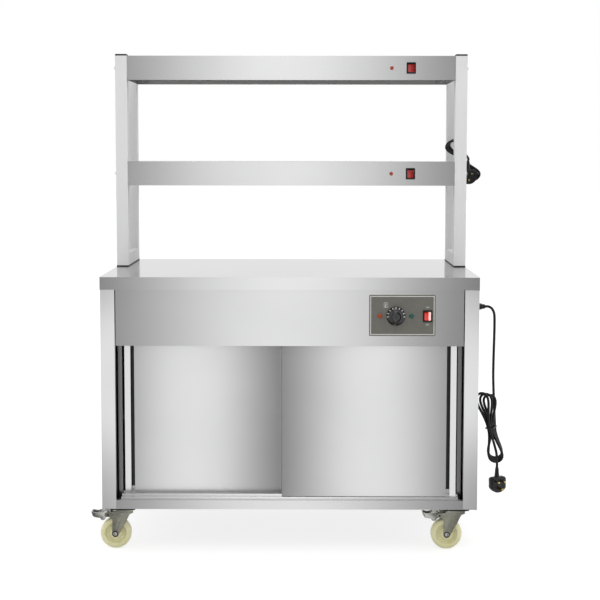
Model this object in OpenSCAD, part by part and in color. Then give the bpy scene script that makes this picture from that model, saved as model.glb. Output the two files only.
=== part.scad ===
// Plate warmer cabinet on castors with a two-shelf heated gantry.
// Origin on the floor under the centre of the worktop. X right, -Y front, +Z up, millimetres.

/* [Cabinet] */
// Length of the worktop
body_length = 1200; // [1000:10:1500]
// Depth of the worktop
body_depth = 700; // [600:10:800]
// Height of the worktop above the floor
worktop_height = 885; // [850:5:950]
// Height of the turned-down worktop edge
worktop_edge = 40; // [30:1:60]
// Sheet thickness of the folded panels
sheet = 1.5; // [1:0.1:2]
// Gap between the worktop edge and the body inside it
skirt_gap = 0.5; // [0.3:0.1:0.9]
// Width of the front fold of a side panel
post_width = 45; // [35:1:60]
// Depth of the return behind a front fold
post_return = 18; // [10:1:25]
// Gap between the front folds and the fascia
fascia_gap = 3; // [1:0.5:5]
// Height of the fascia below the worktop edge
fascia_height = 178; // [160:1:200]
// Depth of the fascia's folded edges
fascia_fold = 12; // [6:1:13]
// Height of the base rail face
rail_height = 29; // [20:1:35]
// Depth of the flange on top of the base rail
rail_flange = 17; // [12:1:20]
// Distance of the side liners from the worktop ends
liner_inset = 61; // [55:1:66]
// Width of the liners' front flange
liner_flange = 13; // [8:1:20]
// Setback of the liner front from the worktop front
liner_setback = 60; // [55:1:70]

/* [Doors] */
// Setback of the front door's face from the worktop front
door_setback = 24; // [22:1:30]
// Thickness of a door
door_thickness = 22; // [18:1:26]
// Distance between the faces of the two doors
door_pitch = 35; // [32:1:40]
// Width of a door
door_width = 556; // [535:1:561]
// Gap between a closed door's outer edge and the liner
door_side_gap = 8; // [3:1:12]
// Height of the top of a door above the fascia's lower edge
door_overlap = 23; // [15:1:30]
// Width of the lip outside the finger pull
pull_lip = 19; // [12:1:25]
// Width of the finger pull
pull_width = 12; // [11:1:18]
// Depth of the finger pull
pull_depth = 14; // [10:1:16]
// Width of the lips at the back of a door
door_back_lip = 12; // [8:1:14]
// Height of the sill above the base rail
sill_step = 7; // [5:1:12]
// Height of the guide ribs on the sill
rib_height = 6; // [4:1:8]
// Width of the guide ribs on the sill
rib_width = 5; // [4:0.5:6]
// Length of a door shoe
shoe_length = 45; // [30:1:60]
// Sliding clearance of the door shoes
slide_gap = 0.3; // [0.2:0.1:0.5]

/* [Inside] */
// Height of the middle shelf above the floor
shelf_height = 430; // [350:5:500]
// Height of the heater cover above the base pan
cover_height = 34; // [30:1:45]
// Diameter of the heating element
element_diameter = 8; // [6:0.5:10]
// Number of element runs
element_runs = 6; // [4:2:8]
// Depth of the control box
control_box_depth = 130; // [110:5:160]

/* [Control panel] */
// Width of the control panel
panel_width = 209; // [200:1:230]
// Height of the control panel
panel_height = 130; // [120:1:140]
// Thickness of the control panel
panel_sheet = 1.2; // [0.8:0.1:1.3]
// Diameter of the knob's skirt
knob_diameter = 60; // [50:1:64]
// Diameter of the knob's dome
knob_dome = 40; // [34:1:44]
// Height of the knob
knob_height = 27; // [22:1:32]
// Diameter of the thermostat shaft
shaft_diameter = 6; // [5:0.5:8]
// Running clearance of pins and shafts
running_gap = 0.05; // [0.02:0.01:0.08]
// Diameter of an indicator lamp
lamp_diameter = 15; // [12:1:18]
// Width of the panel switch
switch_width = 30; // [26:1:34]
// Height of the panel switch
switch_height = 38; // [34:1:42]

/* [Gantry] */
// Height of the gantry posts' upper end above the floor
gantry_top = 1605; // [1500:5:1700]
// Depth of the gantry
gantry_depth = 290; // [250:5:320]
// Setback of the gantry's rear from the worktop rear
gantry_setback = 30; // [20:1:60]
// Width of the square tube
tube_size = 40; // [30:1:45]
// Wall of the square tube
tube_wall = 2; // [1.5:0.5:3]
// Thickness of the strip under a side frame
pad_thickness = 4; // [3:1:6]
// Height of a tube cap
cap_height = 6; // [4:1:8]
// Height of the heated shelves
shelf_fascia = 82; // [70:1:95]
// Height of the lower shelf's top above the floor
lower_shelf_top = 1246; // [1150:2:1300]
// Width of the lip under a shelf
shelf_lip = 16; // [12:1:20]
// Gap between a shelf and the posts
shelf_gap = 0.3; // [0.2:0.1:0.8]
// Width of the shelf switches
rocker_frame_width = 32; // [28:1:34]
// Height of the shelf switches
rocker_frame_height = 39; // [34:1:42]
// Diameter of the gantry bolts
bolt_diameter = 8; // [6:1:10]
// Diameter of the shelf heater tubes
quartz_diameter = 12; // [10:1:14]

/* [Castors] */
// Diameter of a wheel
wheel_diameter = 100; // [90:1:104]
// Width of a wheel
wheel_width = 32; // [28:1:34]
// Height of a castor
castor_height = 141; // [136:1:150]
// Distance of the swivel axis behind the axle
castor_trail = 28; // [24:1:32]
// Thickness of the fork sheet
fork_sheet = 3; // [2:0.5:4]
// Diameter of an axle
axle_diameter = 12; // [10:1:14]
// Length of a castor plate
plate_length = 105; // [95:1:115]
// Width of a castor plate
plate_width = 80; // [72:1:90]
// Distance of the swivel axes from the worktop ends
castor_inset_x = 66; // [60:1:80]
// Distance of the swivel axes from the worktop front and rear
castor_inset_y = 57; // [55:1:70]

/* [Cords] */
// Diameter of the mains cords
cord_diameter = 8.5; // [7:0.1:9]
// Loops in the power hank
power_loops = 3; // [2:1:4]
// Loops in the gantry hank
gantry_loops = 3; // [2:1:4]
// Gap between the strands of a hank
strand_gap = 0.6; // [0.5:0.1:1]
// Width of the plug
plug_width = 54; // [50:1:58]
// Height of the plug
plug_height = 51; // [47:1:55]

/* [Hidden] */
$fn = 48;

// Main faces of the cabinet
half_length = body_length / 2;
half_depth = body_depth / 2;
side_x = half_length - sheet - skirt_gap;
front_y = -half_depth + sheet + skirt_gap;
back_y = half_depth - sheet - skirt_gap;
roof_z = worktop_height - sheet;
base_z = castor_height;
base_top = base_z + sheet;
rail_top = base_z + rail_height;
fascia_bottom = worktop_height - worktop_edge - fascia_height;
sill_top = rail_top + sill_step;
post_x = side_x - post_width;
fascia_x = post_x - fascia_gap;
liner_x = half_length - liner_inset;
liner_y = -half_depth + liner_setback;

// Faces of the doors
front_door_y = -half_depth + door_setback;
rear_door_y = front_door_y + door_pitch;
door_edge_x = liner_x - door_side_gap;
door_bottom = sill_top + 1;
door_top = fascia_bottom + door_overlap;
shoe_thickness = 12;
shoe_rise = 16;
front_shoe_y = front_door_y + door_thickness / 2;
rear_shoe_y = rear_door_y + door_thickness / 2;

// Sill under both doors
sill_front_y = front_y + rail_flange - sheet - skirt_gap;
sill_back_y = rear_door_y + door_thickness + 7;
sill_x = liner_x - slide_gap;

// Track over both doors
track_top = door_top + shoe_rise + 4;

// Heater cover on the base pan
cover_top = base_top + cover_height;
cover_front_y = sill_back_y + 2;
cover_back_y = back_y - 12;
cover_x = liner_x - 2;

// Control box behind the fascia
box_bottom = track_top + slide_gap;
box_top = worktop_height - worktop_edge - 5;
box_right = liner_x - 1;
fascia_back_y = front_y + sheet;
box_back_y = fascia_back_y + control_box_depth;

// Control panel on the fascia, near its right end
panel_inset = 244.6;
panel_x = half_length - panel_inset;
panel_z = worktop_height - 120;
panel_face_y = front_y - panel_sheet;
knob_x = panel_x - 20.4;
knob_z = panel_z - 2;
heat_lamp_x = panel_x - 70.4;
power_lamp_x = panel_x + 29.2;
switch_x = panel_x + 79.6;
box_left = panel_x - 120.4;
rocker_tilt = 8;

// Gantry
rear_gantry_y = half_depth - gantry_setback;
front_gantry_y = rear_gantry_y - gantry_depth;
mid_gantry_y = (front_gantry_y + rear_gantry_y) / 2;
pad_top = worktop_height + pad_thickness;
tube_x = half_length - tube_size / 2;
shelf_x = half_length - tube_size - shelf_gap;
shelf_tops = [gantry_top, lower_shelf_top];
gantry_lamp_x = shelf_x - 217.2;
gantry_switch_x = shelf_x - 151.4;
bolt_inset_z = shelf_fascia / 2;
post_y = [front_gantry_y + tube_size / 2, rear_gantry_y - tube_size / 2];

// Castors
castor_x = half_length - castor_inset_x;
castor_y = half_depth - castor_inset_y;
wheel_radius = wheel_diameter / 2;
plate_sheet = 5;
crown_top = castor_height - plate_sheet - 8;
fork_inner = wheel_width / 2 + 4;
king_radius = 6;

// Shapes of the cabinet
seam = 0.3;
top_corner = 3;
rear_fold = 22;
shelf_fold = 18;
runner_inset = 6;

// Element under the slotted cover
element_margin = 60;
element_reach = 430;
element_height = 16;
support_x = 300;
support_width = 15;
slots_across = 8;
slots_deep = 4;
slot_length = 70;
slot_width = 8;

// Door shoes and their seats
shoe_inset = 30;
shoe_seat = sill_top + 14;
rib_clear = 1.5;

// Shapes of the controls
panel_corner = 3;
bush_radius = 5;
shaft_length = 22;
thermostat_size = 44;
thermostat_depth = 30;
capillary_radius = 1.5;
capillary_z = knob_z - 18;
bulb_y = box_back_y - 18.5;
bulb_radius = 4;
bulb_length = 90;
bulb_top = box_bottom - 20.3;
knob_lift = 0.8;
knob_bore = 23;
lamp_neck = 5;
lamp_depth = 18;
shelf_lamp = 13;
frame_rim = 4;
frame_wall = 2.5;
frame_lip = 2.5;
frame_depth = 22;
rocker_pivot = 5;
rocker_play = 0.4;
rocker_swing = 1.5;
rocker_face = 9.5;
trunnion_radius = 1.6;

// Shapes of the gantry
reflector_inset = 40;
reflector_rise = 52;
reflector_flat = 30;
quartz_rise = 26;
quartz_cap = 16;
bolt_head = 5;

// Shapes of the castors
race_radius = 22;
king_head = 4;
plate_bolt_inset = 13;
plate_bolt_head = 4;
leg_end = 11;
crown_radius = 34;
axle_cap = 3;
brake_pin = 3;
brake_pivot = [-51, 112];
brake_roller = [-69, 101];
roller_radius = 9;
pedal_sheet = 3;
hub_radius = 13;
ring_depth = 5;
rim_width = 15;

// Glands and plugs
gland_y = -half_depth + 60;
gland_z = worktop_height - 98;
gland_thread = 8;
gland_nut = 12;
gland_tail = 12;
gland_flange = 6;
gland_length = 27;
gantry_gland_y = mid_gantry_y + 5;
gantry_gland_z = gantry_top - 43;
relief_length = 29;
plug_face = -13;
plug_depth = 28;
plug_turn = 25;
pin_pitch = 22.2;
pin_drop = 14;
tie_gap = 0.6;
tie_sheet = 1.2;
tie_width = 4;

// Route of the power cord, as steps from the side panel at its gland
power_start = [side_x, gland_y, gland_z];
power_lead_route = [
    [47, 0, -6], [55, 1, -21], [57, 2, -47], [57, 4, -97], [56, 6, -167], [56, 8, -227]
];
power_hank_place = power_start + [50, 0, -391];
hank_turn = -25;
power_heights = [100, 116];
power_lobes = [78, 50];
power_tilts = [0, -12];
power_lead_in = 84;
power_run_out = 26;
power_tail_route = [[58, -20, -443], [65, -24, -472]];
plug_place = power_start + [67, -24, -517];

// Route of the gantry cord, as steps from the shelf end at its gland
gantry_start = [shelf_x, gantry_gland_y, gantry_gland_z];
gantry_lead_route = [
    [44.3, 1, -6], [49.3, 4, -26], [49.3, 8, -72], [42.3, 11, -142], [32.3, 13, -202]
];
gantry_hank_place = gantry_start + [46.3, 0, -312];
gantry_heights = [78, 82];
gantry_lobes = [48, 48];
gantry_tilts = [-22, -42];
gantry_lead_in = 60;
gantry_short = 0.125;
gantry_tail_route = [[43.3, -26, -281]];
gantry_plug_place = gantry_start + [60.3, -34, -316];

// Offset of a corner of a folded strip, so that the strip keeps its thickness
function unit(v) = v / norm(v);
function left_normal(a, b) = [-(b - a).y, (b - a).x] / norm(b - a);
function strip_offset(p, i, t) =
    i == 0 ? t * left_normal(p[0], p[1]) :
    i == len(p) - 1 ? t * left_normal(p[i - 1], p[i]) :
    let (m = left_normal(p[i - 1], p[i]), n = left_normal(p[i], p[i + 1]))
    t * (m + n) / (1 + m * n);

// A folded strip of sheet, seen from its edge. The sheet lies left of the path.
module strip(path, t = sheet) {
    last = len(path) - 1;
    inner = [for (i = [last:-1:0]) path[i] + strip_offset(path, i, t)];
    polygon(concat(path, inner));
}

// Extrusions of a drawn section along X, Y and Z
module along_x(x0, x1) {
    translate([x0, 0, 0]) rotate([90, 0, 90]) linear_extrude(x1 - x0) children();
}

module along_y(y0, y1) {
    translate([0, y1, 0]) rotate([90, 0, 0]) linear_extrude(y1 - y0) children();
}

module along_z(z0, z1) {
    translate([0, 0, z0]) linear_extrude(z1 - z0) children();
}

// A block given by two opposite corners
module block(low, high) {
    translate(low) cube(high - low);
}

// A round bar along X, Y or Z that starts at a point
module bar_x(p, r, h) {
    translate(p) rotate([0, 90, 0]) cylinder(h = h, r = r);
}

module bar_y(p, r, h) {
    translate(p) rotate([-90, 0, 0]) cylinder(h = h, r = r);
}

// A rectangle with rounded corners about the middle
module rounded(w, h, r) {
    square([w - 2 * r, h], center = true);
    square([w, h - 2 * r], center = true);
    for (x = [-1, 1], y = [-1, 1]) translate([x * (w / 2 - r), y * (h / 2 - r)]) circle(r);
}

// A copy on the other side of the middle
module both_sides() {
    children();
    mirror([1, 0, 0]) children();
}

// Cabinet shell

module worktop() {
    color("silver") difference() {
        along_z(worktop_height - worktop_edge, worktop_height)
            rounded(body_length, body_depth, top_corner);
        along_z(worktop_height - worktop_edge - 1, roof_z)
            rounded(body_length - 2 * sheet, body_depth - 2 * sheet, top_corner - sheet);
    }
}

// Side panel with its front post, folded from one sheet
module side_shape() {
    rear = back_y - sheet;
    path = [
        [post_x, front_y + post_return], [post_x, front_y], [side_x, front_y],
        [side_x, rear], [side_x - rear_fold, rear]
    ];
    along_z(base_top, roof_z) strip(path);
}

module side_panel_left() {
    color("gainsboro") mirror([1, 0, 0]) side_shape();
}

module side_panel_right() {
    color("gainsboro") difference() {
        side_shape();
        bar_x([side_x - 5, gland_y, gland_z], gland_thread + seam, 10);
    }
}

module back_panel() {
    color("gainsboro") block([-side_x, back_y - sheet, base_top], [side_x, back_y, roof_z]);
}

module front_fascia() {
    fold_y = front_y + fascia_fold;
    path = [
        [fold_y, roof_z], [front_y, roof_z], [front_y, fascia_bottom], [fold_y, fascia_bottom]
    ];
    color("silver") difference() {
        union() {
            along_x(-fascia_x, fascia_x) strip(path);
            both_sides() block([fascia_x - sheet, front_y, fascia_bottom],
                               [fascia_x, fold_y, roof_z]);
        }
        panel_holes();
    }
}

// Holes for the shaft, the lamps and the switch, through the panel and the fascia
module panel_holes() {
    y0 = panel_face_y - 1;
    depth = fascia_back_y - y0 + 1;
    bar_y([knob_x, y0, knob_z], bush_radius + seam, depth);
    bar_y([heat_lamp_x, y0, knob_z], lamp_neck + seam, depth);
    bar_y([power_lamp_x, y0, knob_z], lamp_neck + seam, depth);
    translate([switch_x, 0, knob_z]) along_y(y0, y0 + depth)
        square([switch_width - frame_rim + 2 * seam, switch_height - frame_rim + 2 * seam],
               center = true);
}

module base_pan() {
    path = [
        [front_y + rail_flange, rail_top], [front_y, rail_top], [front_y, base_z],
        [back_y, base_z]
    ];
    color("silver") union() {
        along_x(-post_x + seam, post_x - seam) strip(path);
        block([-side_x, front_y, base_z], [side_x, back_y, base_top]);
    }
}

// Corners of a guide rib under a door
function rib(y) = [
    [y + rib_width / 2, sill_top], [y + rib_width / 2, sill_top + rib_height],
    [y - rib_width / 2, sill_top + rib_height], [y - rib_width / 2, sill_top]
];

module door_sill() {
    path = concat(
        [[sill_back_y, base_top], [sill_back_y, sill_top]],
        rib(rear_shoe_y), rib(front_shoe_y),
        [[sill_front_y, sill_top], [sill_front_y, rail_top]]
    );
    color("silver") along_x(-sill_x, sill_x) strip(path);
}

// Double channel in which the shoes on the doors slide
module door_track() {
    half = shoe_thickness / 2 + slide_gap;
    low = door_top + 2;
    high = track_top - sheet;
    path = [
        [front_shoe_y - half, low], [front_shoe_y - half, high],
        [front_shoe_y + half, high], [front_shoe_y + half, low],
        [rear_shoe_y - half, low], [rear_shoe_y - half, high],
        [rear_shoe_y + half, high], [rear_shoe_y + half, low]
    ];
    color("silver") along_x(-sill_x, sill_x) strip(path);
}

module liner_shape() {
    path = [
        [liner_x, back_y - sheet - seam], [liner_x, liner_y], [liner_x + liner_flange, liner_y]
    ];
    along_z(base_top, roof_z) strip(path);
}

module liner_left() {
    color("darkgray") mirror([1, 0, 0]) liner_shape();
}

module liner_right() {
    color("darkgray") liner_shape();
}

module control_box() {
    color("darkgray") difference() {
        block([box_left, fascia_back_y, box_bottom], [box_right, box_back_y, box_top]);
        block([box_left + sheet, fascia_back_y - 1, box_bottom + sheet],
              [box_right - sheet, box_back_y - sheet, box_top - sheet]);
        translate([knob_x, bulb_y, box_bottom - 1]) cylinder(h = 4, r = capillary_radius + seam);
    }
}

module middle_shelf() {
    front = cover_front_y + 4;
    path = [
        [cover_back_y, shelf_height - shelf_fold], [cover_back_y, shelf_height],
        [front, shelf_height], [front, shelf_height - shelf_fold]
    ];
    color("silver") along_x(-cover_x, cover_x) strip(path);
}

module shelf_runners() {
    top = shelf_height - sheet;
    path = [[liner_x, top - shelf_fold], [liner_x, top], [liner_x - shelf_fold, top]];
    color("darkgray") both_sides()
        along_y(cover_front_y + 4 + runner_inset, cover_back_y - runner_inset) strip(path);
}

// Bent tubular element with its two support bars
module heater_element() {
    r = element_diameter / 2;
    pitch = (cover_back_y - cover_front_y - 2 * element_margin) / (element_runs - 1);
    z = base_top + element_height;
    color("dimgray") union() {
        for (i = [0:element_runs - 1]) {
            y = cover_front_y + element_margin + i * pitch;
            bar_x([-element_reach, y, z], r, 2 * element_reach);
            if (i < element_runs - 1) {
                side = i % 2 == 0 ? 1 : -1;
                translate([side * element_reach, y + pitch / 2, z])
                    rotate([0, 0, -90 * side]) rotate_extrude(angle = 180)
                    translate([pitch / 2, 0]) circle(r);
            }
        }
        both_sides() block(
            [support_x, cover_front_y + element_margin - 10, base_top],
            [support_x + support_width, cover_back_y - element_margin + 10, z - r / 2]);
    }
}

// Slotted cover that stands on the base pan
module heater_cover() {
    path = [
        [cover_back_y, base_top], [cover_back_y, cover_top],
        [cover_front_y, cover_top], [cover_front_y, base_top]
    ];
    step_x = 2 * cover_x / (slots_across + 1);
    step_y = (cover_back_y - cover_front_y) / (slots_deep + 1);
    color("silver") difference() {
        along_x(-cover_x, cover_x) strip(path);
        for (i = [1:slots_across], j = [1:slots_deep])
            translate([-cover_x + i * step_x, cover_front_y + j * step_y, cover_top])
                cube([slot_length, slot_width, 3 * sheet], center = true);
    }
}

// Sliding doors

// Section of a door, with the finger pull folded into its outer edge
function door_path(x0, x1, y) = [
    [x0 + door_back_lip, y + door_thickness], [x0, y + door_thickness], [x0, y],
    [x1 - pull_lip - pull_width, y], [x1 - pull_lip - pull_width, y + pull_depth],
    [x1 - pull_lip, y + pull_depth], [x1 - pull_lip, y], [x1, y],
    [x1, y + door_thickness], [x1 - door_back_lip, y + door_thickness]
];

// Outline of a door's flanges, open at the finger pull
function door_outline(x0, x1, y) = [
    for (i = [1:8]) door_path(x0, x1, y)[i]
];

module door_shape(y) {
    x1 = door_edge_x;
    x0 = x1 - door_width;
    mid = y + door_thickness / 2;
    half = rib_width / 2 + rib_clear;
    difference() {
        union() {
            along_z(door_bottom, door_top) strip(door_path(x0, x1, y));
            along_z(door_top - sheet, door_top) polygon(door_outline(x0, x1, y));
            along_z(shoe_seat, shoe_seat + sheet) polygon(door_outline(x0, x1, y));
        }
        block([x0 - 1, mid - half, door_bottom - 1],
              [x1 + 1, mid + half, sill_top + rib_height + rib_clear]);
    }
}

// Upper and lower sliding shoes of a door
module shoes_shape(y) {
    x1 = door_edge_x;
    x0 = x1 - door_width;
    mid = y + door_thickness / 2;
    half = shoe_thickness / 2;
    foot = door_thickness / 2 - sheet - skirt_gap;
    slot = rib_width / 2 + slide_gap;
    for (x = [x0 + shoe_inset, x1 - shoe_inset - pull_lip - pull_width - shoe_length]) {
        block([x, mid - half, door_top], [x + shoe_length, mid + half, door_top + shoe_rise]);
        difference() {
            block([x, mid - foot, sill_top + slide_gap], [x + shoe_length, mid + foot, shoe_seat]);
            block([x - 1, mid - slot, sill_top],
                  [x + shoe_length + 1, mid + slot, sill_top + rib_height + slide_gap]);
        }
    }
}

module door_front() {
    color("silver") door_shape(front_door_y);
}

module door_rear() {
    color("silver") mirror([1, 0, 0]) door_shape(rear_door_y);
}

module door_front_shoes() {
    color("white") shoes_shape(front_door_y);
}

module door_rear_shoes() {
    color("white") mirror([1, 0, 0]) shoes_shape(rear_door_y);
}

// Control panel

module control_panel() {
    color("dimgray") difference() {
        translate([panel_x, 0, panel_z]) along_y(panel_face_y, front_y)
            rounded(panel_width, panel_height, panel_corner);
        panel_holes();
    }
}

// Thermostat with its bush, shaft, capillary and bulb
module thermostat_body() {
    back = fascia_back_y + thermostat_depth;
    half = thermostat_size / 2;
    color("darkgray") union() {
        translate([knob_x, 0, knob_z]) along_y(fascia_back_y, back)
            rounded(thermostat_size, thermostat_size, 3);
        bar_y([knob_x, panel_face_y, knob_z], bush_radius, fascia_back_y - panel_face_y + 1);
        bar_y([knob_x, panel_face_y - shaft_length, knob_z], shaft_diameter / 2,
              shaft_length + 1);
        bar_y([knob_x, back - 1, capillary_z], capillary_radius, bulb_y - back + 1);
        translate([knob_x, bulb_y, capillary_z]) sphere(capillary_radius);
        translate([knob_x, bulb_y, bulb_top])
            cylinder(h = capillary_z - bulb_top, r = capillary_radius);
        translate([knob_x, bulb_y, bulb_top - bulb_length])
            cylinder(h = bulb_length, r = bulb_radius);
    }
}

module thermostat_knob() {
    bore = shaft_diameter / 2 + running_gap;
    skirt = knob_diameter / 2;
    dome = knob_dome / 2;
    color("black") translate([knob_x, panel_face_y - knob_lift, knob_z]) rotate([90, 0, 0])
        rotate_extrude($fn = 64) polygon([
            [bore, 0], [skirt, 0], [skirt, 3], [skirt - 2, 5], [dome + 2, 8],
            [dome, 11], [dome - 1, knob_height - 5], [dome - 5, knob_height],
            [0, knob_height], [0, knob_bore], [bore, knob_bore]
        ]);
}

// Indicator lamp of a given diameter whose flange lies on the face at y = 0
module lamp_shape(d) {
    r = d / 2;
    rotate([90, 0, 0]) rotate_extrude() polygon([
        [0, -lamp_depth], [lamp_neck, -lamp_depth], [lamp_neck, 0], [r, 0],
        [r, 2], [r - 1, 3], [r - 3, 4.5], [0, 5]
    ]);
}

module heat_lamp() {
    color("orange") translate([heat_lamp_x, panel_face_y, knob_z]) lamp_shape(lamp_diameter);
}

module power_lamp() {
    color("limegreen") translate([power_lamp_x, panel_face_y, knob_z]) lamp_shape(lamp_diameter);
}

// Switch frame of a given size whose rim lies on the face at y = 0
module frame_shape(w, h) {
    inner_w = w - frame_rim - 2 * frame_wall;
    inner_h = h - frame_rim - 2 * frame_wall;
    difference() {
        union() {
            along_y(-frame_lip, 0) rounded(w, h, 2.5);
            along_y(0, frame_depth) square([w - frame_rim, h - frame_rim], center = true);
        }
        along_y(-frame_lip - 1, frame_depth - frame_wall)
            square([inner_w, inner_h], center = true);
        bar_x([-w, rocker_pivot, 0], trunnion_radius + running_gap, 2 * w);
    }
}

// Rocker of a frame, tipped so that its upper half stands out
module rocker_shape(w, h) {
    half_w = (w - frame_rim) / 2 - frame_wall - rocker_play;
    half_h = (h - frame_rim) / 2 - frame_wall - 2 * rocker_play - rocker_swing;
    pin = half_w + rocker_play + frame_wall - 0.5;
    section = [
        [-rocker_face, half_h], [-rocker_face + 3, 0], [-rocker_face, -half_h],
        [2, -half_h], [7, -half_h / 2], [7, half_h / 2], [2, half_h]
    ];
    translate([0, rocker_pivot, 0]) rotate([rocker_tilt, 0, 0]) union() {
        along_x(-half_w, half_w) polygon(section);
        bar_x([-pin, 0, 0], trunnion_radius, 2 * pin);
    }
}

module switch_frame() {
    color("black") translate([switch_x, panel_face_y, knob_z])
        frame_shape(switch_width, switch_height);
}

module switch_rocker() {
    color("red") translate([switch_x, panel_face_y, knob_z])
        rocker_shape(switch_width, switch_height);
}

// Gantry over the worktop

// Welded side frame of two posts on a base rail, all of square tube
module gantry_frame() {
    x0 = half_length - tube_size;
    wall = [tube_wall, tube_wall, tube_wall];
    color("gainsboro") difference() {
        union() {
            block([x0, front_gantry_y, pad_top],
                  [half_length, rear_gantry_y, pad_top + tube_size]);
            for (y = post_y) block([x0, y - tube_size / 2, pad_top],
                                   [half_length, y + tube_size / 2, gantry_top]);
        }
        block([x0, front_gantry_y, pad_top] + wall,
              [half_length, rear_gantry_y, pad_top + tube_size] - wall);
        for (y = post_y) block([x0, y - tube_size / 2, pad_top] + wall,
                               [half_length, y + tube_size / 2, gantry_top + 2 * tube_wall] - wall);
        for (y = post_y, top = shelf_tops)
            bar_x([x0 - 1, y, top - bolt_inset_z], bolt_diameter / 2 + seam, tube_size + 2);
    }
}

module gantry_frame_left() {
    mirror([1, 0, 0]) gantry_frame();
}

module gantry_frame_right() {
    gantry_frame();
}

module tube_caps() {
    plug = tube_size - 2 * tube_wall - 2 * seam;
    color("black") both_sides() for (y = post_y) translate([tube_x, y, 0]) {
        along_z(gantry_top, gantry_top + cap_height) rounded(tube_size, tube_size, 3);
        along_z(gantry_top - 2 * cap_height, gantry_top) square([plug, plug], center = true);
    }
}

module foot_pads() {
    color("black") both_sides() block([half_length - tube_size, front_gantry_y, worktop_height],
                                      [half_length, rear_gantry_y, pad_top]);
}

// Shelf folded from sheet, open below, with closed ends
module shelf_shape(top) {
    low = top - shelf_fascia;
    path = [
        [rear_gantry_y - shelf_lip, low], [rear_gantry_y, low], [rear_gantry_y, top],
        [front_gantry_y, top], [front_gantry_y, low], [front_gantry_y + shelf_lip, low]
    ];
    mid = top - bolt_inset_z;
    color("silver") difference() {
        union() {
            along_x(-shelf_x, shelf_x) strip(path);
            both_sides() block([shelf_x - sheet, front_gantry_y, low],
                               [shelf_x, rear_gantry_y, top]);
        }
        bar_y([gantry_lamp_x, front_gantry_y - 1, mid], lamp_neck + seam, sheet + 2);
        translate([gantry_switch_x, 0, mid]) along_y(front_gantry_y - 1, front_gantry_y + sheet + 1)
            square([rocker_frame_width - frame_rim + 2 * seam,
                    rocker_frame_height - frame_rim + 2 * seam], center = true);
        both_sides() for (y = post_y)
            bar_x([shelf_x - sheet - 1, y, mid], bolt_diameter / 2 + seam, sheet + 2);
    }
}

module shelf_top() {
    difference() {
        shelf_shape(shelf_tops[0]);
        bar_x([shelf_x - sheet - 1, gantry_gland_y, gantry_gland_z],
              gland_thread + seam, sheet + 2);
    }
}

module shelf_lower() {
    shelf_shape(shelf_tops[1]);
}

// Folded trough under each shelf, closed by end plates that hold the heater tube
module shelf_reflectors() {
    reach = shelf_x - reflector_inset;
    for (top = shelf_tops) {
        low = top - shelf_fascia + sheet;
        high = low + reflector_rise;
        tube_z = low + quartz_rise;
        path = [
            [front_gantry_y + 2 * sheet, low], [front_gantry_y + shelf_lip + 2, low],
            [mid_gantry_y - reflector_flat, high], [mid_gantry_y + reflector_flat, high],
            [rear_gantry_y - shelf_lip - 2, low], [rear_gantry_y - 2 * sheet, low]
        ];
        color("whitesmoke") difference() {
            union() {
                along_x(-reach, reach) strip(path);
                both_sides() along_x(reach - sheet, reach)
                    polygon([path[1], path[2], path[3], path[4]]);
            }
            bar_x([-reach - 1, mid_gantry_y, tube_z], quartz_diameter / 2 + seam, 2 * reach + 2);
        }
    }
}

// Quartz tube with a ceramic cap at each end, one under each shelf
module shelf_heaters() {
    reach = shelf_x - reflector_inset;
    for (top = shelf_tops) {
        z = top - shelf_fascia + sheet + quartz_rise;
        color("orangered") union() {
            bar_x([-reach - quartz_cap, mid_gantry_y, z], quartz_diameter / 2,
                  2 * (reach + quartz_cap));
            both_sides() bar_x([reach + seam, mid_gantry_y, z], quartz_diameter / 2 + 3,
                               quartz_cap);
        }
    }
}

module gantry_lamps() {
    color("orange") for (top = shelf_tops)
        translate([gantry_lamp_x, front_gantry_y, top - bolt_inset_z]) lamp_shape(shelf_lamp);
}

module gantry_switch_frames() {
    color("black") for (top = shelf_tops)
        translate([gantry_switch_x, front_gantry_y, top - bolt_inset_z])
            frame_shape(rocker_frame_width, rocker_frame_height);
}

module gantry_rocker_top() {
    color("red") translate([gantry_switch_x, front_gantry_y, shelf_tops[0] - bolt_inset_z])
        rocker_shape(rocker_frame_width, rocker_frame_height);
}

module gantry_rocker_lower() {
    color("red") translate([gantry_switch_x, front_gantry_y, shelf_tops[1] - bolt_inset_z])
        rocker_shape(rocker_frame_width, rocker_frame_height);
}

// Bolts through the posts into the shelf ends, each with its nut
module gantry_bolts() {
    r = bolt_diameter / 2;
    inner = shelf_x - sheet;
    color("silver") both_sides() for (top = shelf_tops, y = post_y)
        translate([0, y, top - bolt_inset_z]) {
            bar_x([inner - 2 * r, 0, 0], r, half_length - inner + 3 * r);
            translate([half_length, 0, 0]) rotate([0, 90, 0])
                cylinder(h = bolt_head, r1 = 1.8 * r, r2 = 1.4 * r);
            translate([inner - 1.6 * r, 0, 0]) rotate([0, 90, 0])
                cylinder(h = 1.6 * r, r = 1.8 * r, $fn = 6);
        }
}

// Cords

// Curve through route points, with a number of steps between two points
function spline(p, steps) = [
    for (i = [0:len(p) - 2], k = [0:steps - 1])
        let (
            a = p[max(i - 1, 0)], b = p[i], c = p[i + 1], d = p[min(i + 2, len(p) - 1)],
            t = k / steps
        )
        0.5 * (2 * b + (c - a) * t + (2 * a - 5 * b + 4 * c - d) * t ^ 2
               + (3 * b - a - 3 * c + d) * t ^ 3),
    p[len(p) - 1]
];

function tangent(p, i) =
    i == 0 ? unit(p[1] - p[0]) :
    i == len(p) - 1 ? unit(p[i] - p[i - 1]) :
    unit(unit(p[i + 1] - p[i]) + unit(p[i] - p[i - 1]));

function path_length(p, i = 0) =
    i == len(p) - 1 ? 0 : norm(p[i + 1] - p[i]) + path_length(p, i + 1);

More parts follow.
